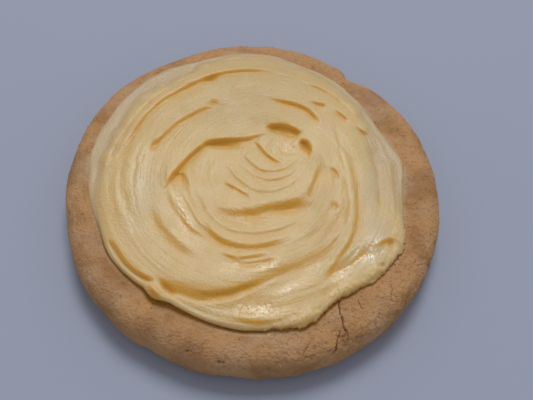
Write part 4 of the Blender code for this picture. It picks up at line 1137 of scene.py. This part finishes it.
def mottle_group():
    """Soft patches over the surface, as a mask from 0 to 1."""
    name = "mottle"
    if name in bpy.data.node_groups:
        return bpy.data.node_groups[name]
    group = bpy.data.node_groups.new(name, "ShaderNodeTree")
    socket(group, "Vector", "NodeSocketVector", "INPUT")
    for input_name in ("Scale", "Detail", "From", "To"):
        socket(group, input_name, "NodeSocketFloat", "INPUT")
    socket(group, "Mask", "NodeSocketFloat", "OUTPUT")
    start = node(group, "NodeGroupInput")
    end = node(group, "NodeGroupOutput")
    noise = node(group, "ShaderNodeTexNoise", Roughness=0.55)
    fit = node(group, "ShaderNodeMapRange", interpolation_type="SMOOTHSTEP")
    for shared in ("Vector", "Scale", "Detail"):
        group.links.new(start.outputs[shared], noise.inputs[shared])
    group.links.new(noise.outputs["Fac"], fit.inputs["Value"])
    group.links.new(start.outputs["From"], fit.inputs["From Min"])
    group.links.new(start.outputs["To"], fit.inputs["From Max"])
    group.links.new(fit.outputs["Result"], end.inputs["Mask"])
    return group


def mottle(tree, vector, patches):
    """One use of the mottle group. Gives the mask's socket."""
    made = node(tree, "ShaderNodeGroup", node_tree=mottle_group())
    tree.links.new(vector, made.inputs["Vector"])
    for name, value in zip(("Scale", "Detail", "From", "To"), patches):
        made.inputs[name].default_value = value
    return made.outputs["Mask"]


def tint(tree, base, colour, mask, share=1.0):
    """Mixes a colour over a base by a mask. Gives the result's socket."""
    made = node(tree, "ShaderNodeMix", data_type="RGBA")
    weight = node(tree, "ShaderNodeMath", operation="MULTIPLY")
    weight.inputs[1].default_value = share
    tree.links.new(mask, weight.inputs[0])
    tree.links.new(weight.outputs[0], made.inputs["Factor"])
    for value, place in ((base, "A"), (colour, "B")):
        target = next(s for s in made.inputs if s.name == place and s.type == "RGBA")
        if isinstance(value, bpy.types.NodeSocket):
            tree.links.new(value, target)
        else:
            target.default_value = tuple(value)
    return next(s for s in made.outputs if s.type == "RGBA")


def measure(tree, name, low, high):
    """A vertex number of the piece, fitted from low and high to 0 and 1."""
    read = node(tree, "ShaderNodeAttribute", attribute_name=name)
    fit = node(tree, "ShaderNodeMapRange")
    fit.inputs["From Min"].default_value = low
    fit.inputs["From Max"].default_value = high
    tree.links.new(read.outputs["Fac"], fit.inputs["Value"])
    return fit.outputs["Result"]


def math_node(tree, operation, first, second):
    """Two numbers combined. Either may be a socket or a value."""
    made = node(tree, "ShaderNodeMath", operation=operation)
    for place, value in enumerate((first, second)):
        if isinstance(value, bpy.types.NodeSocket):
            tree.links.new(value, made.inputs[place])
        else:
            made.inputs[place].default_value = value
    return made.outputs[0]


def sloped(tree, value, slope, start):
    """The socket's number times a slope, on top of what it starts from."""
    result = math_node(tree, "MULTIPLY_ADD", value, slope)
    result.node.inputs[2].default_value = start
    return result


def new_material(name):
    """A material with its tree, its shader and the Object coordinates."""
    material = bpy.data.materials.new(name)
    material.use_nodes = True
    tree = material.node_tree
    shader = tree.nodes["Principled BSDF"]
    place = node(tree, "ShaderNodeTexCoord").outputs["Object"]
    return material, tree, shader, place


def crumb_material(settings):
    """Baked crumb: brown patches, pale flour, dark specks, a darker foot, smears of icing, cracks, and painted
    shade under the icing's lip and in the cracks.
    """
    name = "baked crumb"
    if name in bpy.data.materials:
        return bpy.data.materials[name]
    material, tree, shader, place = new_material(name)
    colour = tint(tree, settings.colour, settings.dark, mottle(tree, place, BROWN_PATCHES), 0.7)
    colour = tint(tree, colour, settings.pale, mottle(tree, place, PALE_PATCHES), 0.4)
    colour = tint(tree, colour, settings.dark, mottle(tree, place, BROWN_SPECKS), 0.55)
    # Darker towards the foot, in patches
    low = math_node(tree, "MULTIPLY", measure(tree, "height", 0.5, 0.0), mottle(tree, place, DARKER_FOOT))
    colour = tint(tree, colour, DARKER_FOOT_COLOUR, low, 0.5)
    smear = measure(tree, "smear", 0.0, 1.0)
    colour = tint(tree, colour, SMEAR_COLOUR, smear, 0.6)
    # Painted shadow under the icing's lip, warm ochre
    colour = tint(tree, colour, LIP_SHADOW_COLOUR, measure(tree, "lip_shadow", 0.0, 1.0), 0.9)
    # Painted shade darkens the cracks and pits
    colour = tint(tree, colour, CRACK_SHADE_COLOUR, measure(tree, "crack", 0.2, 0.9), 0.9)
    tree.links.new(colour, shader.inputs["Base Color"])
    tree.links.new(sloped(tree, smear, -0.25, 0.82), shader.inputs["Roughness"])
    shader.inputs["Specular IOR Level"].default_value = 0.35
    fine = mottle(tree, place, CRUMB_FINE)
    coarse = mottle(tree, place, CRUMB_COARSE)
    bump = node(tree, "ShaderNodeBump", Strength=0.8, Distance=CRUMB_BUMP)
    height = math_node(tree, "ADD", fine, math_node(tree, "MULTIPLY", coarse, 1.2))
    tree.links.new(height, bump.inputs["Height"])
    tree.links.new(bump.outputs["Normal"], shader.inputs["Normal"])
    return material


def icing_material(settings):
    """Soft lemon icing: warm painted shade in hollows and front walls, painted shade at the back, a pale thin
    film, fine streaks and a moist sheen.
    """
    material, tree, shader, place = new_material("lemon icing")
    colour = tint(tree, settings.colour, settings.hollow, mottle(tree, place, WARM_PATCHES), 0.1)
    pale = math_node(tree, "MULTIPLY", measure(tree, "pale", 0.0, 1.0), mottle(tree, place, SCRAPED_PATCHES))
    colour = tint(tree, colour, SCRAPED_COLOUR, pale, 0.75)
    # Painted shade darkens the back and top; the right blotch gets a deeper tone
    colour = tint(tree, colour, settings.deeper, measure(tree, "deeper", 0.0, 1.0), 0.8)
    # Painted warm shade in broad hollows, on walls that face the front, and in fine creases
    colour = tint(tree, colour, settings.hollow, measure(tree, "broad_hollow", 0.1, 1.2), 0.4)
    front_wall_shade = measure(tree, "front_wall_shade", 0.1, 0.55)
    colour = tint(tree, colour, settings.hollow, front_wall_shade, 0.8)
    colour = tint(tree, colour, settings.hollow, measure(tree, "hollow", 0.2, 1.6), 0.5)
    colour = tint(tree, colour, settings.film, measure(tree, "thick", 1.9, 0.4), 0.85)
    tree.links.new(colour, shader.inputs["Base Color"])
    along = node(tree, "ShaderNodeAttribute", attribute_name="flow").outputs["Vector"]
    stretch = node(tree, "ShaderNodeMapping", vector_type="POINT", Scale=STREAK_SCALE)
    tree.links.new(along, stretch.inputs["Vector"])
    streaks = mottle(tree, stretch.outputs["Vector"], FINE_STREAKS)
    ridges = math_node(tree, "MULTIPLY", streaks, mottle(tree, place, STREAKY_PATCHES))
    wet = measure(tree, "wet", 0.0, 1.0)
    grain = math_node(tree, "MULTIPLY", mottle(tree, place, ICING_GRAIN), 0.5)
    glints = math_node(tree, "MULTIPLY", wet, mottle(tree, place, GLINTS))
    uneven = math_node(tree, "ADD", ridges, math_node(tree, "ADD", grain, glints))
    # A wet place is smooth enough to show the window in one piece
    height = math_node(tree, "MULTIPLY", uneven, sloped(tree, wet, -0.65, 1.0))
    bump = node(tree, "ShaderNodeBump", Strength=0.8, Distance=ICING_BUMP)
    tree.links.new(height, bump.inputs["Height"])
    tree.links.new(bump.outputs["Normal"], shader.inputs["Normal"])
    dull = math_node(tree, "MULTIPLY", mottle(tree, place, SHEEN_PATCHES), 0.1)
    dull = math_node(tree, "ADD", sloped(tree, wet, -0.3, 0.4), dull)
    tree.links.new(dull, shader.inputs["Roughness"])
    # A wall in the shade has other icing to reflect, and not the sky
    tree.links.new(sloped(tree, front_wall_shade, -0.45, 0.7), shader.inputs["Specular IOR Level"])
    # Light that enters the thin rim is lost in the crumb, so less of it goes in there
    solid = math_node(tree, "MULTIPLY", measure(tree, "thick", 0.1, 0.9), 0.8)
    tree.links.new(solid, shader.inputs["Subsurface Weight"])
    shader.inputs["Subsurface Radius"].default_value = SUBSURFACE_RADIUS
    shader.inputs["Subsurface Scale"].default_value = SUBSURFACE_SCALE
    return material


def place_camera():
    """The camera at the photograph's viewing angle."""
    camera = bpy.data.objects.new("camera", bpy.data.cameras.new("camera"))
    camera.data.sensor_width = SENSOR_WIDTH_MM
    camera.data.lens = SENSOR_WIDTH_MM * FOCAL_LENGTH_PX / PHOTO_WIDTH_PX
    camera.data.clip_start = 0.01
    tilt = math.radians(CAMERA_ELEVATION)
    back = Vector((0, -math.cos(tilt), math.sin(tilt)))
    right = Vector((1, 0, 0))
    up = back.cross(right)
    roll = math.radians(CAMERA_ROLL)
    across = math.cos(roll) * right + math.sin(roll) * up
    upward = math.cos(roll) * up - math.sin(roll) * right
    pose = Matrix((across, upward, back)).transposed().to_4x4()
    pose.translation = Vector(CAMERA_TARGET) + back * CAMERA_DISTANCE
    camera.matrix_world = pose
    bpy.context.scene.collection.objects.link(camera)
    bpy.context.scene.camera = camera


def add_light(name, azimuth, elevation, distance, size, power):
    """A square soft light that faces the cookie. Azimuth 0 is behind it, towards +Y."""
    light = bpy.data.lights.new(name, "AREA")
    light.size = size
    light.energy = power
    lamp = bpy.data.objects.new(name, light)
    around, above = math.radians(azimuth), math.radians(elevation)
    level = math.cos(above)
    towards = Vector((level * math.sin(around), level * math.cos(around), math.sin(above)))
    lamp.location = towards * distance
    lamp.rotation_euler = (-towards).to_track_quat("-Z", "Y").to_euler()
    bpy.context.scene.collection.objects.link(lamp)
    return lamp


def make_stage(settings):
    """Floor, lights and camera."""
    shape = bmesh.new()
    bmesh.ops.create_grid(shape, x_segments=1, y_segments=1, size=FLOOR_HALF)
    mesh = bpy.data.meshes.new("floor")
    shape.to_mesh(mesh)
    shape.free()
    material = new_material("pale floor")[0]
    shader = material.node_tree.nodes["Principled BSDF"]
    shader.inputs["Base Color"].default_value = tuple(settings.floor)
    shader.inputs["Roughness"].default_value = 0.7
    mesh.materials.append(material)
    floor = bpy.data.objects.new("floor", mesh)
    bpy.context.scene.collection.objects.link(floor)
    world = bpy.data.worlds.new("soft sky")
    world.use_nodes = True
    sky = world.node_tree.nodes["Background"]
    sky.inputs["Color"].default_value = SKY_COLOUR
    sky.inputs["Strength"].default_value = settings.sky
    bpy.context.scene.world = world
    add_light("window", WINDOW_AZIMUTH, WINDOW_ELEVATION, WINDOW_DISTANCE, WINDOW_SIZE, settings.key)
    place_camera()
    bpy.context.scene.view_settings.view_transform = "Standard"


class COOKIE_OT_crumb(bpy.types.Operator):
    """Makes the baked crumb"""

    bl_idname = "cookie.crumb"
    bl_label = "Baked crumb"

    def execute(self, context):
        make_crumb(context.scene.cookie_crumb)
        return {"FINISHED"}


class COOKIE_OT_icing(bpy.types.Operator):
    """Spreads the icing"""

    bl_idname = "cookie.icing"
    bl_label = "Spread icing"

    def execute(self, context):
        make_icing(context.scene.cookie_icing)
        return {"FINISHED"}


class COOKIE_OT_loose_crumbs(bpy.types.Operator):
    """Strews the grains that stand out of the skin"""

    bl_idname = "cookie.loose_crumbs"
    bl_label = "Loose crumbs"

    def execute(self, context):
        make_loose_crumbs(context.scene.cookie_loose_crumbs, context.scene.cookie_crumb)
        return {"FINISHED"}


class COOKIE_OT_stage(bpy.types.Operator):
    """Sets up floor, lights and camera"""

    bl_idname = "cookie.stage"
    bl_label = "Stage"

    def execute(self, context):
        make_stage(context.scene.cookie_stage)
        return {"FINISHED"}


class COOKIE_PT_panel(bpy.types.Panel):
    """Lists the cookie's pieces"""

    bl_label = "Lemon cookie"
    bl_space_type = "VIEW_3D"
    bl_region_type = "UI"
    bl_category = "Cookie"

    def draw(self, context):
        scene = context.scene
        sections = (
            ("cookie.crumb", scene.cookie_crumb, ("relief", "colour", "dark", "pale")),
            ("cookie.icing", scene.cookie_icing, ("depth", "swirl", "colour", "hollow", "deeper", "film")),
            ("cookie.loose_crumbs", scene.cookie_loose_crumbs, ("count", "size")),
            ("cookie.stage", scene.cookie_stage, ("floor", "key", "sky")),
        )
        for action, settings, names in sections:
            box = self.layout.box()
            for name in names:
                box.prop(settings, name)
            box.operator(action)


SETTINGS = (
    ("cookie_crumb", CrumbSettings),
    ("cookie_icing", IcingSettings),
    ("cookie_loose_crumbs", LooseCrumbSettings),
    ("cookie_stage", StageSettings),
)
CLASSES = (
    COOKIE_OT_crumb,
    COOKIE_OT_icing,
    COOKIE_OT_loose_crumbs,
    COOKIE_OT_stage,
    COOKIE_PT_panel,
)


def register():
    for name, group in SETTINGS:
        bpy.utils.register_class(group)
        setattr(bpy.types.Scene, name, PointerProperty(type=group))
    for made in CLASSES:
        bpy.utils.register_class(made)


def unregister():
    for made in reversed(CLASSES):
        bpy.utils.unregister_class(made)
    for name, group in reversed(SETTINGS):
        delattr(bpy.types.Scene, name)
        bpy.utils.unregister_class(group)


def main():
    register()
    bpy.ops.cookie.crumb()
    bpy.ops.cookie.icing()
    bpy.ops.cookie.loose_crumbs()
    bpy.ops.cookie.stage()


if __name__ == "__main__":
    main()
